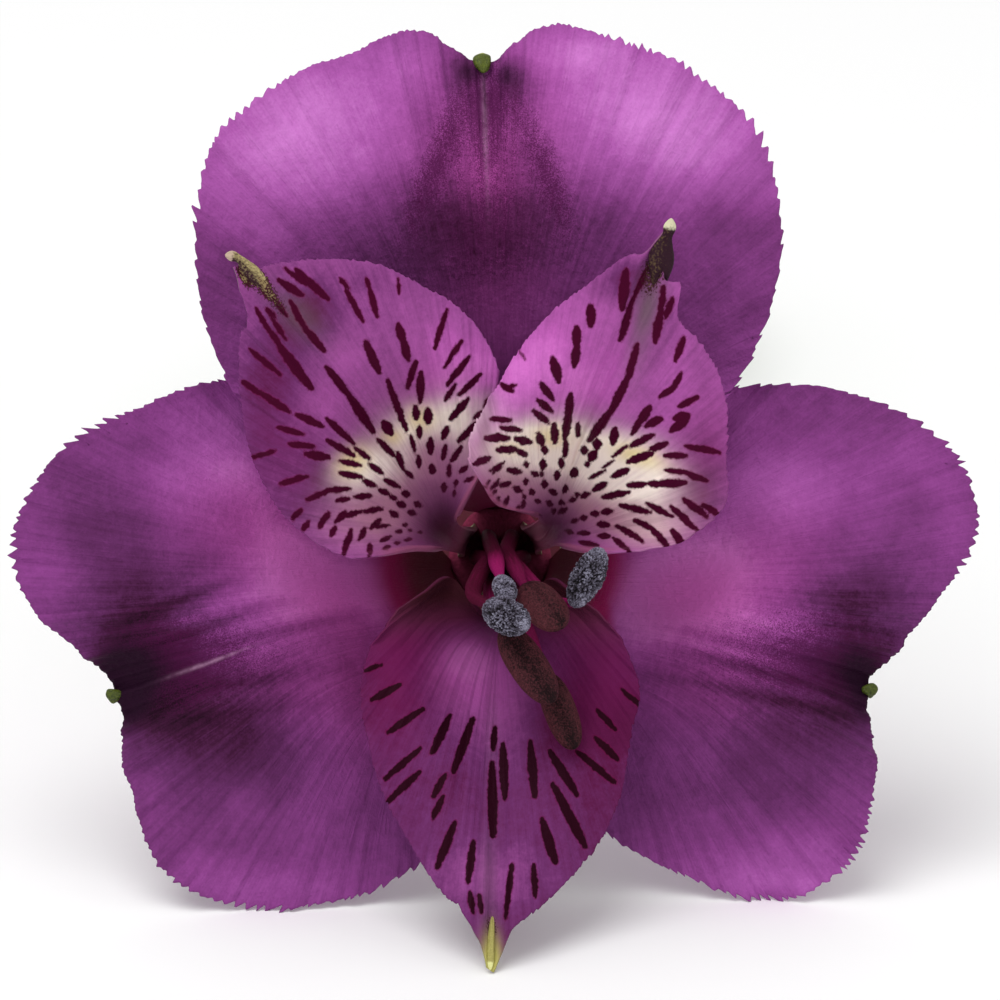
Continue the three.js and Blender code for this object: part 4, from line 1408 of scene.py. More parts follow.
@dataclass(frozen=True)
class InnerTepals:
    """The three narrower inner tepals."""

    finish: InnerFinish = InnerFinish()
    left: Tepal = Tepal(
        name="tepal_inner_left", whorl=INNER, claw=154, heart=(-2.66, 1.75), tip=130.2, spread=(53.2, 61.8),
        reach=(11.8, 15.3, 17.6, 20.0, 21.5, 22.8, 23.3, 21.0, 18.7, 16.5, 14.1, 11.3, 7.8),
        point=(1.2, 2.6),
        third=(-5.5, -4.5, -3.5, -4, -5.5),
        two_thirds=(-2.5, 0.8, 2, 1.2, -2.5),
        margin=(-0.6, 1.4, 2.6, 4, 2.2, 1, -1),
        seed=41,
        tone=0.6,
        lobes=(Lobe(4.6, -0.8, 2.2), Lobe(1.9, 0.25, 0.7)),
    )
    right: Tepal = Tepal(
        name="tepal_inner_right", whorl=INNER, claw=30, heart=(2.45, 1.4), tip=66.9, spread=(74.4, 64.1),
        reach=(7.0, 13.1, 14.5, 16.5, 17.8, 18.4, 21.0, 19.2, 16.7, 13.7, 10.9, 9.1, 7.1),
        point=(2.2, 3.5),
        third=(-5.5, -4, -3.5, -3, -3.4),
        two_thirds=(-2.5, 1.2, 2.4, 2, 0.2),
        margin=(-1, 1.2, 2.8, 4.6, 3.2, 2.5, 1.8),
        seed=53,
        tone=0.72,
        lobes=(Lobe(-6.4, 1.5, 1.9), Lobe(5.5, 0.9, 3.5)),
    )
    low: Tepal = Tepal(
        name="tepal_inner_low", whorl=INNER, claw=270, heart=(0, 0), tip=268.7, spread=(62.7, 63.3),
        reach=(8.0, 12.5, 15.2, 18.1, 20.9, 23.9, 26.1, 24.4, 22.1, 19.3, 15.5, 13.0, 7.9),
        point=(2.5, 4),
        third=(-7, -5.5, -4.5, -5.5, -7),
        two_thirds=(-4, -0.6, 0.6, -0.6, -4),
        margin=(-2.5, -0.5, 1, 4.3, 1, -0.5, -2.5),
        seed=67,
        tone=0.38,
        lobes=(Lobe(-5.6, -0.35, 1.0),),
    )
    creams: Patches = patches(
        (356, 470, 22, 18, 0.8, -40), (385, 462, 26, 20, 0.7, -30), (405, 430, 18, 14, 0.5, -25),
        (440, 418, 40, 18, 1.0, -12), (460, 428, 12, 24, 0.45), (620, 442, 34, 12, 0.4),
        (548, 434, 30, 10, 0.4), (652, 526, 30, 20, 0.25), (524, 446, 34, 20, 1.15, -12),
        (565, 448, 38, 26, 1.1), (610, 466, 42, 24, 1.1, 12), (644, 474, 28, 20, 0.95, 25),
        (628, 494, 40, 15, 0.45, 15),
    )
    yellows: Patches = patches(
        (352, 462, 18, 13, 0.66, -40), (420, 418, 14, 12, 0.6), (392, 436, 10, 8, 0.55),
        (549, 435, 18, 11, 0.6), (510, 447, 14, 8, 0.4), (638, 455, 26, 10, 0.72, 20),
    )
    blushes: Patches = patches(
        (376, 498, 44, 36, 0.7, -20), (378, 526, 48, 22, 0.5), (425, 450, 50, 45, 0.7),
        (505, 478, 30, 40, 0.7), (600, 490, 80, 40, 0.9, 10), (640, 526, 48, 22, 0.75, 12),
    )
    low_shadings: Patches = patches(
        (440, 602, 64, 22, 1.0, -6), (570, 610, 60, 24, 0.6, 6),
    )
    shadings: Patches = patches(
        (442, 522, 30, 42, 0.62, 18), (405, 545, 44, 12, 0.2, -8), (548, 528, 38, 26, 0.66, 10),
        (484, 428, 8, 30, 0.3),
    )
    # Painted shade at the bottoms of the upper tepals' channels, in the throat's maroon.
    hollows: Patches = patches(
        (440, 532, 15, 20, 0.7, 10), (546, 536, 18, 14, 0.7),
    )
    glints: Patches = patches(
        (467, 535, 6, 8, 0.5, 35), (520, 535, 6, 9, 0.4, -20),
    )
    greys: Patches = patches(
        (648, 304, 14, 38, 0.9, 15), (636, 360, 12, 42, 0.3, 14), (296, 314, 36, 17, 0.6, 45),
        (488, 880, 8, 45, 0.35), (492, 740, 7, 60, 0.2),
    )
    stains: Patches = patches(
        (257, 277, 20, 9, 1.1, 48), (276, 302, 24, 9, 0.66, 50), (243, 276, 15, 6, 0.72, 65),
        (654, 266, 14, 18, 0.78, 15), (666, 277, 9, 9, 0.2), (648, 290, 12, 14, 0.5, 15),
        (491, 926, 7, 14, 0.75),
    )
    limes: Patches = patches((490, 960, 9, 24, 1.2))
    flushes: Patches = patches(
        (285, 450, 40, 60, 0.32, -15), (705, 455, 34, 60, 0.4, 15), (430, 385, 30, 34, 0.16),
    )
    magentas: Patches = patches(
        (440, 676, 60, 50, 0.42), (394, 634, 44, 44, 0.75), (600, 668, 60, 74, 0.85),
        (500, 604, 76, 38, 0.5), (392, 716, 34, 50, 0.4),
    )
    # The tepals' tone, lighter and darker: partly their own colour, partly painted highlights and painted
    # shade, such as where the left tepal's edge lies over the right one.
    tones: Patches = patches(
        (460, 385, 45, 55, 0.42), (268, 395, 36, 90, -0.28, 10), (300, 500, 40, 34, -0.16, -30),
        (350, 540, 34, 18, 0.1), (486, 424, 9, 34, -0.26), (491, 398, 10, 16, -0.14),
        (330, 370, 20, 20, -0.08), (666, 314, 12, 24, -0.12), (300, 430, 50, 20, 0.06),
        (312, 313, 30, 26, -0.3), (362, 281, 26, 14, -0.09), (628, 276, 38, 20, -0.34, -20),
        (318, 474, 22, 18, -0.1), (696, 450, 20, 46, -0.04), (302, 440, 26, 18, -0.08),
        (590, 385, 36, 26, 0.2, -30), (708, 470, 26, 40, -0.2, 20), (706, 362, 24, 40, -0.08),
        (700, 505, 34, 26, -0.2, 15), (338, 362, 24, 22, 0.18), (330, 400, 30, 20, 0.12),
        (540, 365, 40, 45, 0.22, -30), (650, 335, 24, 50, -0.1), (485, 682, 46, 50, 0.36),
        (458, 662, 30, 26, 0.4), (500, 738, 40, 50, 0.1), (632, 714, 24, 40, -0.14),
        (570, 650, 50, 45, -0.02), (580, 722, 44, 36, -0.24), (566, 655, 22, 36, 0.12),
        (386, 690, 28, 44, -0.12), (440, 785, 22, 26, -0.06), (470, 655, 44, 34, 0.08),
        (485, 875, 60, 36, 0.2), (610, 800, 30, 60, -0.08),
    )
    horns: tuple[Spur, ...] = (
        Spur(
            "tepal_inner_left",
            (
                (-15.03, 17.61, 2.1), (-15.94, 18.72, 2.95), (-16.84, 19.77, 3.6),
                (-17.68, 20.6, 3.95), (-18.37, 21.09, 4.1), (-19.14, 21.26, 4.15),
            ),
            (0.1, 0.32, 0.46, 0.52, 0.48, 0.39, 0.28, 0.32, 0.2),
            flat=0.6, pinch=0.24, tone=0.3, sided=0.42,
        ),
        Spur(
            "tepal_inner_right",
            (
                (10.75, 18.3, 3.1), (11.0, 19.4, 3.85), (11.24, 20.5, 4.3), (11.36, 21.44, 4.5),
                (11.52, 22.2, 4.6), (11.78, 22.97, 4.7), (11.92, 23.8, 4.75),
            ),
            (0.05, 0.4, 0.72, 0.86, 0.8, 0.6, 0.37, 0.42, 0.22),
            flat=0.5, pinch=0.14, tone=-0.24, sided=-0.26,
        ),
        Spur(
            "tepal_inner_low",
            (
                (-0.55, -24.6, 2.7), (-0.58, -25.6, 3.25), (-0.62, -26.6, 3.7),
                (-0.65, -27.6, 4.05), (-0.68, -28.5, 4.35),
            ),
            (0.1, 0.2, 0.26, 0.25, 0.12),
            flat=0.8, pinch=0.08, tone=0.4,
        ),
    )
    horn_finishes: tuple[PlainFinish, ...] = (
        PlainFinish(
            "horn_left", 0xB8A874, 0x341420, streak=(4, 1.5, 1), speckle=6, contrast=2.2,
            roughness=0.6, gloss=0.2, relief=0.2, tip=0xC8B09A,
        ),
        PlainFinish(
            "horn_right", 0x7E6A44, 0x2A0C1C, streak=(4, 1.5, 1), speckle=6, contrast=1.9,
            roughness=0.6, gloss=0.16, relief=0.2, tip=0xDCD6B4,
        ),
        PlainFinish(
            "horn_low", 0xCCC876, 0x968C4E, streak=(4, 1.0, 1), speckle=7, contrast=1.0,
            roughness=0.5, gloss=0.2, relief=0.1, tip=0xE4E49C,
        ),
    )
    # How far down the plan the lowest tepal's shoulders carry the throat's maroon with painted shade, and how
    # far the lighter painted shade reaches before they are their own colour.
    shoulder: tuple[float, float] = (594, 626)
    shaded: tuple[float, float] = (604, 668)
    # How far along a blade its dashes start.
    dashes_start: float = 0.41

    def marked(self, dashes: Sequence[Sequence[float]], low: bool) -> Callable[..., dict[str, Numbers]]:
        """Chooses how a tepal is painted.

        Args:
            dashes: its dashes.
            low: whether it is the lowest one, which has no blotch.

        Returns:
            The painting, for Tepal.build.
        """

        def paint(tepal: Tepal, blade: Blade, places: Points) -> dict[str, Numbers]:
            """Gives the tepal its marks.

            Args:
                tepal: the tepal.
                blade: its samples.
                places: their places on the plan.

            Returns:
                The marks by name.
            """
            upper = 0.0 if low else 1.0
            # Painted shade on the lowest tepal's shoulders where they turn into the throat: full above the
            # first line, lighter above the second.
            deep, dim = (1 - soft_step(*ends, places[:, 1]) for ends in (self.shoulder, self.shaded))
            claw = 1 - soft_step(0.3, 0.46, blade.along)
            edge = soft_step(0.94, 0.99, np.abs(blade.across))
            side = edge * soft_step(0.34, 0.42, blade.along) * (1 - soft_step(0.7, 0.9, blade.along))
            shade = patched(self.low_shadings if low else self.shadings, places) + (1 - upper) * 0.6 * dim
            marks = {
                "cream": patched(self.creams, places) * upper,
                "yellow": patched(self.yellows, places) * upper,
                "blush": patched(self.blushes, places) * upper,
                "magenta": patched(self.magentas if low else self.flushes, places),
                "grey": patched(self.greys, places),
                "shade": shade,
                # The throat's maroon with painted shade: on the lowest tepal's shoulders and at the bottoms
                # of the upper tepals' channels.
                "hollow": deep if low else patched(self.hollows, places),
                "claw": claw,
                "glint": patched(self.glints, places) * upper,
                "rim": side * (0.1 * (1 - dim) if low else 0.75),
                "stain": patched(self.stains, places),
                "lime": patched(self.limes, places) * (1 - upper),
                "low": np.full(len(places), 1 - upper),
            }
            marks = {name: np.clip(values, 0, 1) for name, values in marks.items()}
            # The tone: the tepal's own colour with painted highlights and painted shade.
            marks["tone"] = tepal.tone + patched(self.tones, places)
            distance = dash_distance(dashes, places)
            marks["dash"] = np.where(blade.along > self.dashes_start, distance, FREE_OF_DASHES)
            return marks

        return paint

    def build(self) -> None:
        """Makes the three tepals."""
        material = self.finish.material()
        for form, dashes in ((self.left, LEFT_DASHES), (self.right, RIGHT_DASHES), (self.low, LOW_DASHES)):
            skin = form.build(self.marked(dashes, form is self.low))
            skin.piece(form.name + "_petal", Slot.INNER, material, form.name)
        for horn, finish in zip(self.horns, self.horn_finishes):
            horn.build("_horn", Slot.INNER, finish.material())


# ------------------------------------------------------------------------------------ the bloom's middle


@dataclass(frozen=True)
class Stamen:
    """One stamen: the angle of its foot, where its filament bends, its anther from heel to tip, the
    anther's width, whether it is open, how pink its filament is and how much paler its coat is."""

    foot: float
    bends: tuple[tuple[float, float, float], ...]
    heel: tuple[float, float, float]
    tip: tuple[float, float, float]
    width: float
    anther: Anther
    flush: float
    paler: float = -0.1


@dataclass(frozen=True)
class Stamens:
    """The six stamens round the style."""

    ring: float = 1.65
    neck: float = 0.95
    neck_rise: float = -0.2
    filament_radius: float = 0.58
    grains: int = 3200
    grain_radius: float = 0.085
    grain_height: float = 0.27
    flushed: tuple[float, float] = (-7.0, 1.0)
    stamens: tuple[Stamen, ...] = (
        Stamen(
            0, ((1.4, -0.8, -5), (3.3, -2.7, -0.6)), heel=(5.2, -3.0, 3.2), tip=(6.95, 0.6, 5.0),
            width=1.85, anther=Anther.OPEN, flush=0.6,
        ),
        Stamen(
            180, ((-1.3, -0.8, -5), (-1.9, -2.4, 1)), heel=(-0.7, -3.1, 5.6), tip=(1.6, -4.6, 7.6),
            width=2.2, anther=Anther.OPEN, flush=0.0,
        ),
        Stamen(
            120, ((-0.3, 0.2, -6), (-0.2, -0.5, -1)), heel=(0.05, -1.3, 3.2), tip=(0.6, -2.7, 5.4),
            width=1.15, anther=Anther.OPEN, flush=0.9,
        ),
        Stamen(
            60, ((0.7, 0.0, -6), (1.2, -0.9, -1)), heel=(1.7, -1.8, 2.2), tip=(4.3, -4.6, 5.2),
            width=2.9, anther=Anther.CLOSED, flush=0.3, paler=0.05,
        ),
        Stamen(
            240, ((-0.6, -1.9, -6), (-0.4, -3.7, -0.5)), heel=(0.2, -4.7, 3.0), tip=(3.7, -9.9, 4.6),
            width=2.7, anther=Anther.CLOSED, flush=0.5,
        ),
        Stamen(
            300, ((0.9, -2.5, -6), (2.2, -5.8, -2.2)), heel=(3.2, -7.9, 0.4), tip=(5.2, -13.2, 1.8),
            width=2.3, anther=Anther.CLOSED, flush=0.5,
        ),
    )

    def filament(self, stamen: Stamen) -> Skin:
        """Makes a filament, from the ovary's top to its anther's heel.

        Args:
            stamen: its stamen.

        Returns:
            The filament's mesh.
        """
        angle = np.radians(stamen.foot)

        def ring(radius: float, out: float, up: float = 0.0) -> tuple[float, float, float]:
            """Returns a point of the ring that the filaments stand in."""
            return (radius * np.cos(angle), radius * np.sin(angle) + up, out)

        foot = [ring(self.ring, PETAL_FOOT), ring(self.ring, -28), ring(self.neck, -14, self.neck_rise)]
        path = bloom_points(np.array([*foot, *stamen.bends, stamen.heel]))

        def girth(place: Numbers, turn: Numbers) -> Numbers:
            """Slims the filament towards its anther."""
            slim = 1 - 0.5 * soft_step(0.72, 1, place)
            return self.filament_radius * slim * (1 + 0.05 * np.cos(3 * turn + 6 * place))

        skin, place, turn = limb(path, 50, 18, girth)
        tone = soft_step(*self.flushed, self.depth(skin.points)) * stamen.flush
        return skin.mark(tone=tone, grain=fibres(place, turn, 20, 30))

    @staticmethod
    def depth(points: Points) -> Numbers:
        """Returns how far out along the bloom's axis points of the part are."""
        axis = bloom_points(np.array([(0, 0, 0), (0, 0, 1)]))
        return (points - axis[0]) @ (axis[1] - axis[0])

    def sac(self, stamen: Stamen, fineness: int) -> tuple[Skin, Numbers, Numbers]:
        """Makes the plain body of an anther: two long lobes side by side with rounded ends.

        Args:
            stamen: its stamen.
            fineness: how many rings it has, and how many points a ring.

        Returns:
            The body, and the place and turn of each of its points.
        """
        path = bloom_points(np.array([stamen.heel, stamen.tip]))

        def girth(place: Numbers, turn: Numbers) -> Numbers:
            """Gives the lobes their taper and the groove between them.

            Args:
                place: the place of each point along them.
                turn: its turn in radians.

            Returns:
                The radius at each point.
            """
            taper = 0.02 + 0.98 * np.sqrt(np.maximum(0, 1 - np.abs(2 * place - 1) ** 2.4))
            suture = 0.07 * np.exp(-(((np.abs(np.sin(turn)) - 1) / 0.012) ** 2))
            return stamen.width / 2 * taper * (1 - 0.2 * np.sin(turn) ** 2 - suture)

        return limb(path, fineness, fineness, girth, ends=0.95)

    def open_anther(self, stamen: Stamen, seed: int) -> Skin:
        """Makes an open anther, covered with grains of pollen.

        Args:
            stamen: its stamen.
            seed: picks where the grains lie.

        Returns:
            The anther's mesh.
        """
        skin, place, turn = self.sac(stamen, 150)
        draw = np.random.default_rng(seed)
        body = skin.points
        chosen = body[draw.integers(0, len(body), self.grains)]
        sizes = self.grain_radius * draw.uniform(0.6, 1.15, self.grains)
        height = np.zeros(len(body))
        for centre, size in zip(chosen, sizes):
            share = np.sum((body - centre) ** 2, 1) / size**2
            height = np.maximum(height, np.sqrt(np.maximum(0, 1 - share)) * size / self.grain_radius)
        middle = (bloom_points(np.array([stamen.heel])) + bloom_points(np.array([stamen.tip]))) / 2
        skin.points = body + unit(body - middle) * (height * self.grain_height)[:, None]
        return skin.mark(tone=height, grain=fibres(place, turn, 20, 10))

    def closed_anther(self, stamen: Stamen) -> Skin:
        """Makes an anther that still has its brown coat on.

        Args:
            stamen: its stamen.

        Returns:
            The anther's mesh.
        """
        skin, place, turn = self.sac(stamen, 90)
        tone = 0.45 + stamen.paler + 0.2 * np.cos(2 * turn) - 0.3 * np.abs(2 * place - 1) ** 3
        return skin.mark(tone=tone, grain=fibres(place, turn, 20, 10))

    def build(self) -> None:
        """Makes the filaments and anthers."""
        thread = PINK_THREAD.named("filament", 0x961C60, 0x4C1028).material()
        pollen = PollenFinish().material()
        coat = PlainFinish(
            "anther_coat", 0x643038, 0x18060A, streak=(1.5, 1.2, 1), speckle=9, contrast=1.7,
            roughness=0.6, gloss=0.1, relief=0.18,
        ).material()
        for number, stamen in enumerate(self.stamens, 1):
            filament, anther = f"filament_{number}", f"anther_{number}"
            self.filament(stamen).piece(filament + "_thread", Slot.FILAMENT, thread, filament)
            if stamen.anther is Anther.OPEN:
                self.open_anther(stamen, number).piece(anther + "_pollen", Slot.POLLEN, pollen, anther)
            else:
                self.closed_anther(stamen).piece(anther + "_coat", Slot.COAT, coat, anther)


@dataclass(frozen=True)
class Pistil:
    """The style with its three-parted stigma, and the ribbed ovary with the disc on its top."""

    style_radius: float = 0.36
    style: tuple[tuple[float, float, float], ...] = (
        (0, 0, PETAL_FOOT), (0, 0, -28), (0, 0.4, -14), (0.15, 0.2, -9), (0.25, 0, -5.5),
    )
    girth: tuple[float, ...] = (1.7, 3.0, 4.0, 4.6, 4.7, 4.4)
    ribs: int = 6
    rib_height: float = 0.055
    disc_radius: float = 3.7
    disc_height: float = 0.7

    def build(self) -> None:
        """Makes the style and the ovary."""

        def stigma(place: Numbers, turn: Numbers) -> Numbers:
            """Parts the style's end in three."""
            lobed = np.clip((place - 0.85) / 0.15, 0, 1)
            return self.style_radius * (1 + 0.3 * lobed * np.cos(3 * turn))

        skin, place, turn = limb(bloom_points(np.array(self.style)), 60, 18, stigma)
        skin.mark(tone=0.2 + 0.7 * place, grain=fibres(place, turn, 20, 30))
        thread = PINK_THREAD.named("style", 0x8A1C54, 0x561028).material()
        skin.piece("style_and_stigma", Slot.STYLE, thread, "pistil")

        def ribbed(place: Numbers, turn: Numbers) -> Numbers:
            """Gives the ovary its bulge and its ribs."""
            ribs = np.cos(self.ribs * turn) * 0.75 + np.cos(2 * self.ribs * turn) * 0.25
            return spline(self.girth, place) * (1 + self.rib_height * ribs)

        ends = np.array([(0, 0, OVARY_TOP - OVARY_LENGTH), (0, 0, OVARY_TOP)])
        skin, place, turn = limb(bloom_points(ends), 44, 120, ribbed, ends=0.3)
        tone = 0.4 + 0.3 * np.cos(self.ribs * turn) - 0.3 * soft_step(0.8, 1, place)
        skin.mark(tone=tone, tip=soft_step(0.985, 1.0, place), grain=fibres(place, turn, 6, 8))
        green = PlainFinish("ovary", 0x8CA85C, 0x4E6E30, gloss=0.18, tip=0x5A1C2C).material()
        skin.piece("ovary_body", Slot.STEM, green, "ovary")

        def dome(place: Numbers, turn: Numbers) -> Numbers:
            """Rounds the disc off towards its middle and gives it six swellings."""
            return self.disc_radius * np.sqrt(1.0001 - place**2) * (1 + 0.03 * np.cos(self.ribs * turn))

        ends = np.array([(0, 0, OVARY_TOP - CLEARANCE), (0, 0, OVARY_TOP + self.disc_height)])
        skin, place, turn = limb(bloom_points(ends), 14, 72, dome)
        skin.mark(tone=0.5 - 0.2 * place, grain=fibres(place, turn, 6, 4))
        wine = PlainFinish(
            "disc", 0x9C3C5C, 0x5C1C30, streak=(2, 2, 1), speckle=3, contrast=0.6,
            roughness=0.7, gloss=0.04, relief=0.1,
        ).material()
        skin.piece("ovary_disc", Slot.STEM, wine, "ovary")


# ---------------------------------------------------------------------------------------- stem and leaves


@dataclass(frozen=True)
class Stalks:
    """The pedicel and the cut stem."""

    stem_radius: float = 2.35
    pedicel_girth: tuple[float, ...] = (1.55, 1.4, 1.35, 1.4, 1.7)
    stem_girth: tuple[float, ...] = (2.0, 2.3, 2.3, 2.3, 2.3)
    stem_line: tuple[tuple[float, float], ...] = ((0, 92), (1.2, 110), (0.6, 130), (-1.6, 150), (-3, 162))
    pedicel_line: tuple[tuple[float, float, float], ...] = ((-0.6, 61, 4.0), (-1.2, 72, 2.6), (-0.6, 82, 2.2))
    joint: float = 91.95

    def stalk(self, path: Points, rings: int, girth: tuple[float, ...]) -> tuple[Skin, Numbers]:
        """Makes a stalk with shallow grooves along it.

        Args:
            path: the points of its axis.
            rings: how many rings it has.
            girth: its radius at even places.

        Returns:
            The stalk's mesh and the place of each point along it.
        """

        def grooved(place: Numbers, turn: Numbers) -> Numbers:
            """Gives the stalk its thickness and fine grooves."""
            grooves = 0.012 * np.cos(9 * turn + 2 * place) + 0.008 * np.cos(17 * turn)
            return spline(girth, place) * (0.985 + grooves)

        skin, place, turn = limb(path, rings, 72, grooved)
        length = float(np.linalg.norm(path[-1] - path[0]))
        return skin.mark(grain=fibres(place, turn, 8, length)), place

    def build(self) -> None:
        """Makes both stalks."""
        neck = bloom_points(np.array([(0, 0, OVARY_TOP - OVARY_LENGTH - CLEARANCE / 3)]))
        line = np.array([*self.pedicel_line, (0, self.joint + CLEARANCE, self.stem_radius)]) + BLOOM_PLACE
        skin, place = self.stalk(np.concatenate([neck, line]), 70, self.pedicel_girth)
        skin.mark(tone=0.55 - 0.2 * place)
        green = PlainFinish("pedicel", 0x90A85E, 0x566F34, streak=(2, 0.12, 1), speckle=5, contrast=0.5)
        skin.piece("pedicel_stalk", Slot.STEM, green.material(), "pedicel")

        path = np.array([(x, y, self.stem_radius) for x, y in self.stem_line]) + BLOOM_PLACE
        skin, place = self.stalk(path, 100, self.stem_girth)
        skin.mark(tone=0.45 + 0.1 * np.sin(8 * place), tip=soft_step(0.9985, 1, place))
        green = PlainFinish(
            "stem", 0x86A050, 0x4C6A2C, streak=(2, 0.1, 1), speckle=4, contrast=0.5, tip=0xB8C08A
        )
        skin.piece("stem_stalk", Slot.STEM, green.material(), "stem")


@dataclass(frozen=True)
class Leaf:
    """One leaf: its full width, its roll in degrees at foot and tip, its arch and wave, its midrib from foot
    to tip, what share of the width it has along that, its ribs and its thickness on the midrib and at the
    edges."""

    name: str
    width: float
    roll: tuple[float, float]
    arch: float
    wave: float
    midrib: tuple[tuple[float, float, float], ...]
    outline: tuple[float, ...] = (0.17, 0.4, 0.8, 1, 0.96, 0.76, 0.44, 0.05)
    ribs: int = 9
    thick: float = 0.5
    thin: float = 0.28
    bands: tuple[Band, ...] = (Band(1.0, 80, 45),)

    def surface(self, across: Numbers, along: Numbers, resting: bool = False) -> Points:
        """Finds points of the leaf's middle surface.

        Args:
            across: from -1 to 1 between its edges.
            along: from 0 at its foot to 1 at its tip.
            resting: whether what would pass below the surface lies on it.

        Returns:
            Rows of x, y and z in the part's frame.
        """
        step = 0.01
        middle = spline(self.midrib, along)
        ahead = np.minimum(along + step, 1)
        forward = unit(spline(self.midrib, ahead) - spline(self.midrib, ahead - step))
        sideways = unit(np.cross([0, 0, 1], forward))
        roll = np.radians(self.roll[0] + (self.roll[1] - self.roll[0]) * along)[:, None]
        lift = np.cross(forward, sideways)
        sideways, lift = (
            sideways * np.cos(roll) + lift * np.sin(roll),
            lift * np.cos(roll) - sideways * np.sin(roll),
        )
        half = self.width / 2 * spline(self.outline, along)
        bend = -self.arch * half * across**2
        wave = self.wave * across * np.sin(4 * np.pi * along) * half / self.width
        points = middle + sideways * (half * across)[:, None] + lift * (bend + wave)[:, None]
        if resting:
            points[:, 2] = np.maximum(points[:, 2], self.thick / 2)
        return points + BLOOM_PLACE

    def build(self, material: bpy.types.Material) -> None:
        """Makes the leaf.

        Args:
            material: the leaves' material.
        """
        blade = Blade.lattice(self.bands)
        across = np.abs(blade.across)
        inner = soft_step(0.02, 0.12, blade.along) * (1 - soft_step(0.9, 1.0, blade.along))
        ribs = np.cos(np.pi * self.ribs * blade.across) * 0.035 * inner * (1 - across**3)
        keel = -0.16 * np.exp(-((blade.across / 0.09) ** 2)) * inner
        thickness = self.thick + (self.thin - self.thick) * across**2
        skin = blade.shell(self.surface, ribs + keel, thickness)
        vein = 0.5 * np.cos(np.pi * self.ribs * blade.across)
        tone = 0.5 + 0.16 * vein + 0.35 * np.exp(-((blade.across / 0.06) ** 2)) - 0.15 * across**4
        grain = np.stack([blade.across * 9, blade.along * 50, np.full(len(across), self.width)], 1)
        tip = soft_step(0.94, 1.0, blade.along)
        skin.mark(tone=np.append(tone + 0.25, tone), tip=np.append(tip, tip), grain=np.tile(grain, (2, 1)))
        skin.piece(self.name + "_blade", Slot.LEAF, material, self.name)


@dataclass(frozen=True)
class Leaves:
    """The whorl at the pedicel's foot and the two leaves lower on the stem."""

    leaves: tuple[Leaf, ...] = (
        Leaf(
            "leaf_whorl_left", width=11, roll=(0, 0), arch=0.3, wave=0,
            midrib=(
                (-2.9, 95.5, 2.2), (-6.5, 86, 1), (-13, 75, 0.2),
                (-20, 63, 0.2), (-25, 52, 0.3), (-27.5, 46, 1.2),
            ),
        ),
        Leaf(
            "leaf_whorl_right", width=10.5, roll=(0, 0), arch=0.3, wave=0,
            midrib=(
                (3.1, 94.5, 2.2), (6.8, 84, 1), (13, 73, 0.2),
                (19, 61, 0.2), (23, 51, 0.3), (24.5, 45, 1.4),
            ),
        ),
        Leaf(
            "leaf_whorl_upper_left", width=11.5, roll=(0, -22), arch=-0.5, wave=0.6,
            midrib=(
                (-1.1, 96, 4.7), (-3, 87, 7.5), (-6, 77, 14),
                (-9.5, 67, 21), (-12.5, 58, 26), (-15, 50, 29),
            ),
        ),
        Leaf(
            "leaf_whorl_upper_right", width=11, roll=(0, 18), arch=-0.5, wave=0.7,
            midrib=(
                (1.5, 94.5, 4.7), (3.4, 86, 9.5), (6, 78, 17.5),
                (9, 70, 24.5), (12, 63, 29), (14, 56, 31),
            ),
        ),
        Leaf(
            "leaf_stem_left", width=9.5, roll=(0, -18), arch=-0.4, wave=0.5,
            midrib=(
                (-2.3, 127.5, 2.8), (-5, 118, 4.5), (-8.5, 108, 8.5),
                (-12, 99, 11.5), (-14.5, 91, 12.5), (-16, 84, 12),
            ),
        ),
        Leaf(
            "leaf_stem_right", width=9.5, roll=(0, 16), arch=-0.4, wave=0.6,
            midrib=(
                (1.9, 144.5, 2.8), (5, 135, 4.5), (8, 125, 8),
                (11, 116, 11), (13.4, 107, 12), (15, 99, 11),
            ),
        ),
    )

    def build(self) -> None:
        """Makes the leaves."""
        material = PlainFinish(
            "leaf", 0x7C9C4C, 0x385822, streak=(2.2, 0.06, 1), speckle=4, contrast=0.5,
            relief=0.06, tip=0x8E9A4A,
        ).material()
        for leaf in self.leaves:
            leaf.build(material)


# ------------------------------------------------------------------------------------------------ studio


@dataclass(frozen=True)
class Lamp:
    """A soft lamp: the way from the bloom's centre to it as right, up and out, how far off it is and how wide
    in metres, and its power in watts."""

    name: str
    way: tuple[float, float, float]
    distance: float
    size: float
    power: float


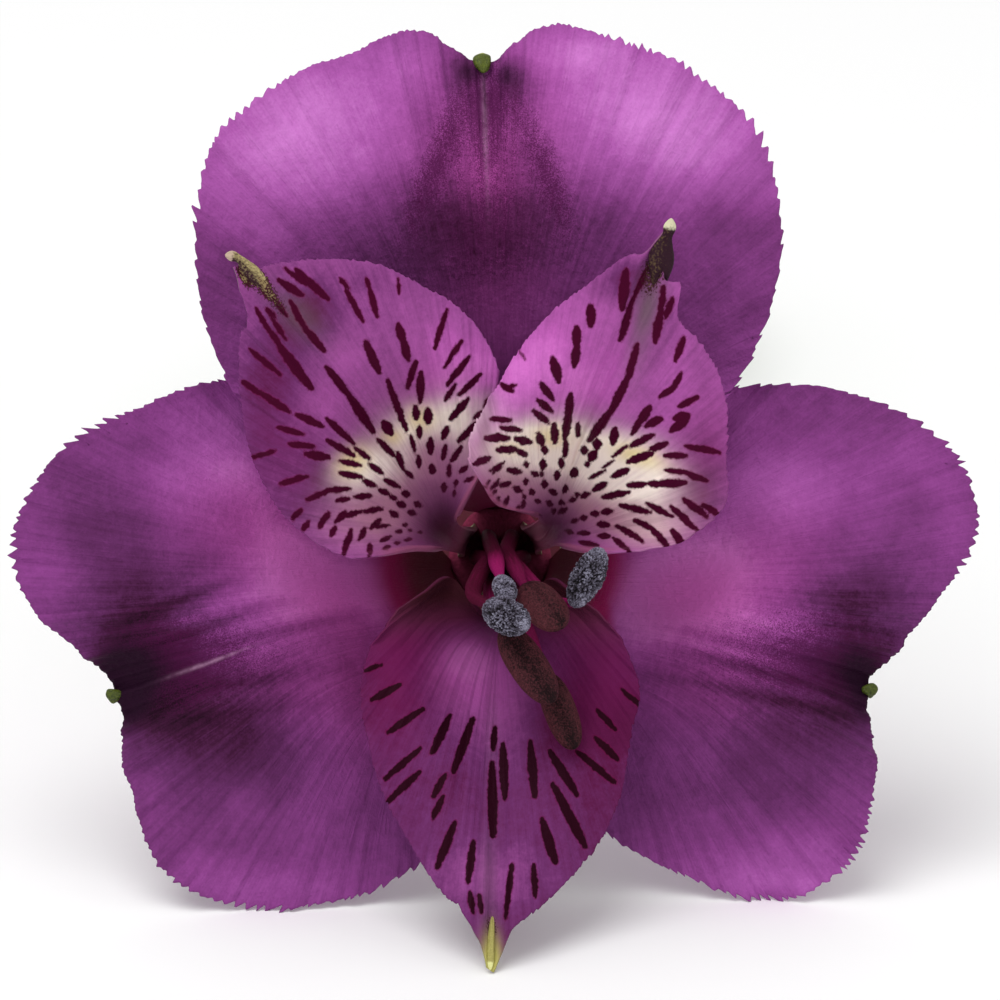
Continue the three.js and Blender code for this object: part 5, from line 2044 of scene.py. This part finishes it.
@dataclass(frozen=True)
class Studio:
    """A pale floor, soft light and the camera that looks into the bloom."""

    sensor: float = 36.0
    field_width: float = PLAN_SPAN * PLAN_STEP
    floor_size: float = 8.0
    white: int = 0xFFFFFF
    evenness: float = 0.7
    lamps: tuple[Lamp, ...] = (
        Lamp("key", (-0.25, 0.85, 0.75), distance=0.9, size=0.7, power=4.0),
        Lamp("fill", (0.35, 0.1, 1.0), distance=1.1, size=0.9, power=0.6),
    )

    def camera(self) -> None:
        """Places the camera in front of the bloom, square to its face."""
        axes = [self.way(*axis) for axis in ((1, 0, 0), (0, 1, 0), (0, 0, 1))]
        data = bpy.data.cameras.new("camera")
        data.sensor_width = self.sensor
        data.lens = self.sensor * VIEW_DISTANCE / self.field_width
        data.clip_start = 0.01
        raised = (PLAN_AXIS[1] - PLAN_SPAN / 2) * PLAN_STEP
        place = bloom_points(np.array([(0, raised, VIEW_DISTANCE)]))[0] * MILLIMETRE
        camera = bpy.data.objects.new("camera", data)
        turn = Matrix(axes).transposed().to_4x4()
        camera.matrix_world = Matrix.Translation(Vector(place)) @ turn
        bpy.context.scene.collection.objects.link(camera)
        bpy.context.scene.camera = camera

    @staticmethod
    def way(right: float, up: float, out: float) -> Points:
        """Returns a direction of the bloom's frame in the part's."""
        ends = bloom_points(np.array([(0, 0, 0), (right, up, out)]))
        return ends[1] - ends[0]

    def hang(self, lamp: Lamp) -> None:
        """Adds a lamp that looks at the bloom.

        Args:
            lamp: the lamp.
        """
        data = bpy.data.lights.new(lamp.name, "AREA")
        data.shape = "DISK"
        data.size = lamp.size
        data.energy = lamp.power
        holder = bpy.data.objects.new(lamp.name, data)
        target = Vector(bloom_points(np.zeros((1, 3)))[0] * MILLIMETRE)
        direction = Vector(self.way(*lamp.way)).normalized()
        holder.location = target + direction * lamp.distance
        holder.rotation_mode = "QUATERNION"
        holder.rotation_quaternion = direction.to_track_quat("Z", "Y")
        bpy.context.scene.collection.objects.link(holder)

    def floor(self) -> None:
        """Lays the pale floor."""
        half = self.floor_size / 2
        mesh = bpy.data.meshes.new("floor")
        corners = [(-half, -half, 0), (half, -half, 0), (half, half, 0), (-half, half, 0)]
        mesh.from_pydata(corners, [], [(0, 1, 2, 3)])
        recipe = Recipe("floor")
        tint = {"Base Color": colour(self.white), "Roughness": 0.9}
        shader = recipe.node("ShaderNodeBsdfPrincipled", {}, tint)
        recipe.node("ShaderNodeOutputMaterial", {}, {"Surface": shader.outputs["BSDF"]})
        mesh.materials.append(recipe.material)
        floor = bpy.data.objects.new("floor", mesh)
        bpy.context.scene.collection.objects.link(floor)

    def light(self) -> None:
        """Sets the lamps and the even light round them."""
        for lamp in self.lamps:
            self.hang(lamp)
        world = bpy.data.worlds.new("studio")
        world.use_nodes = True
        background = world.node_tree.nodes["Background"]
        background.inputs["Color"].default_value = colour(self.white)
        background.inputs["Strength"].default_value = self.evenness
        bpy.context.scene.world = world
        bpy.context.scene.view_settings.view_transform = "Standard"

    def build(self) -> None:
        """Sets the studio up."""
        self.camera()
        self.floor()
        self.light()


def main() -> None:
    """Builds the studio and every piece of the flower."""
    logging.basicConfig(level=logging.INFO, format="%(message)s")
    Studio().build()
    for part in (OuterTepals(), InnerTepals(), Stamens(), Pistil(), Stalks(), Leaves()):
        part.build()
        log.info("%s: done", type(part).__name__)


if __name__ == "__main__":
    main()
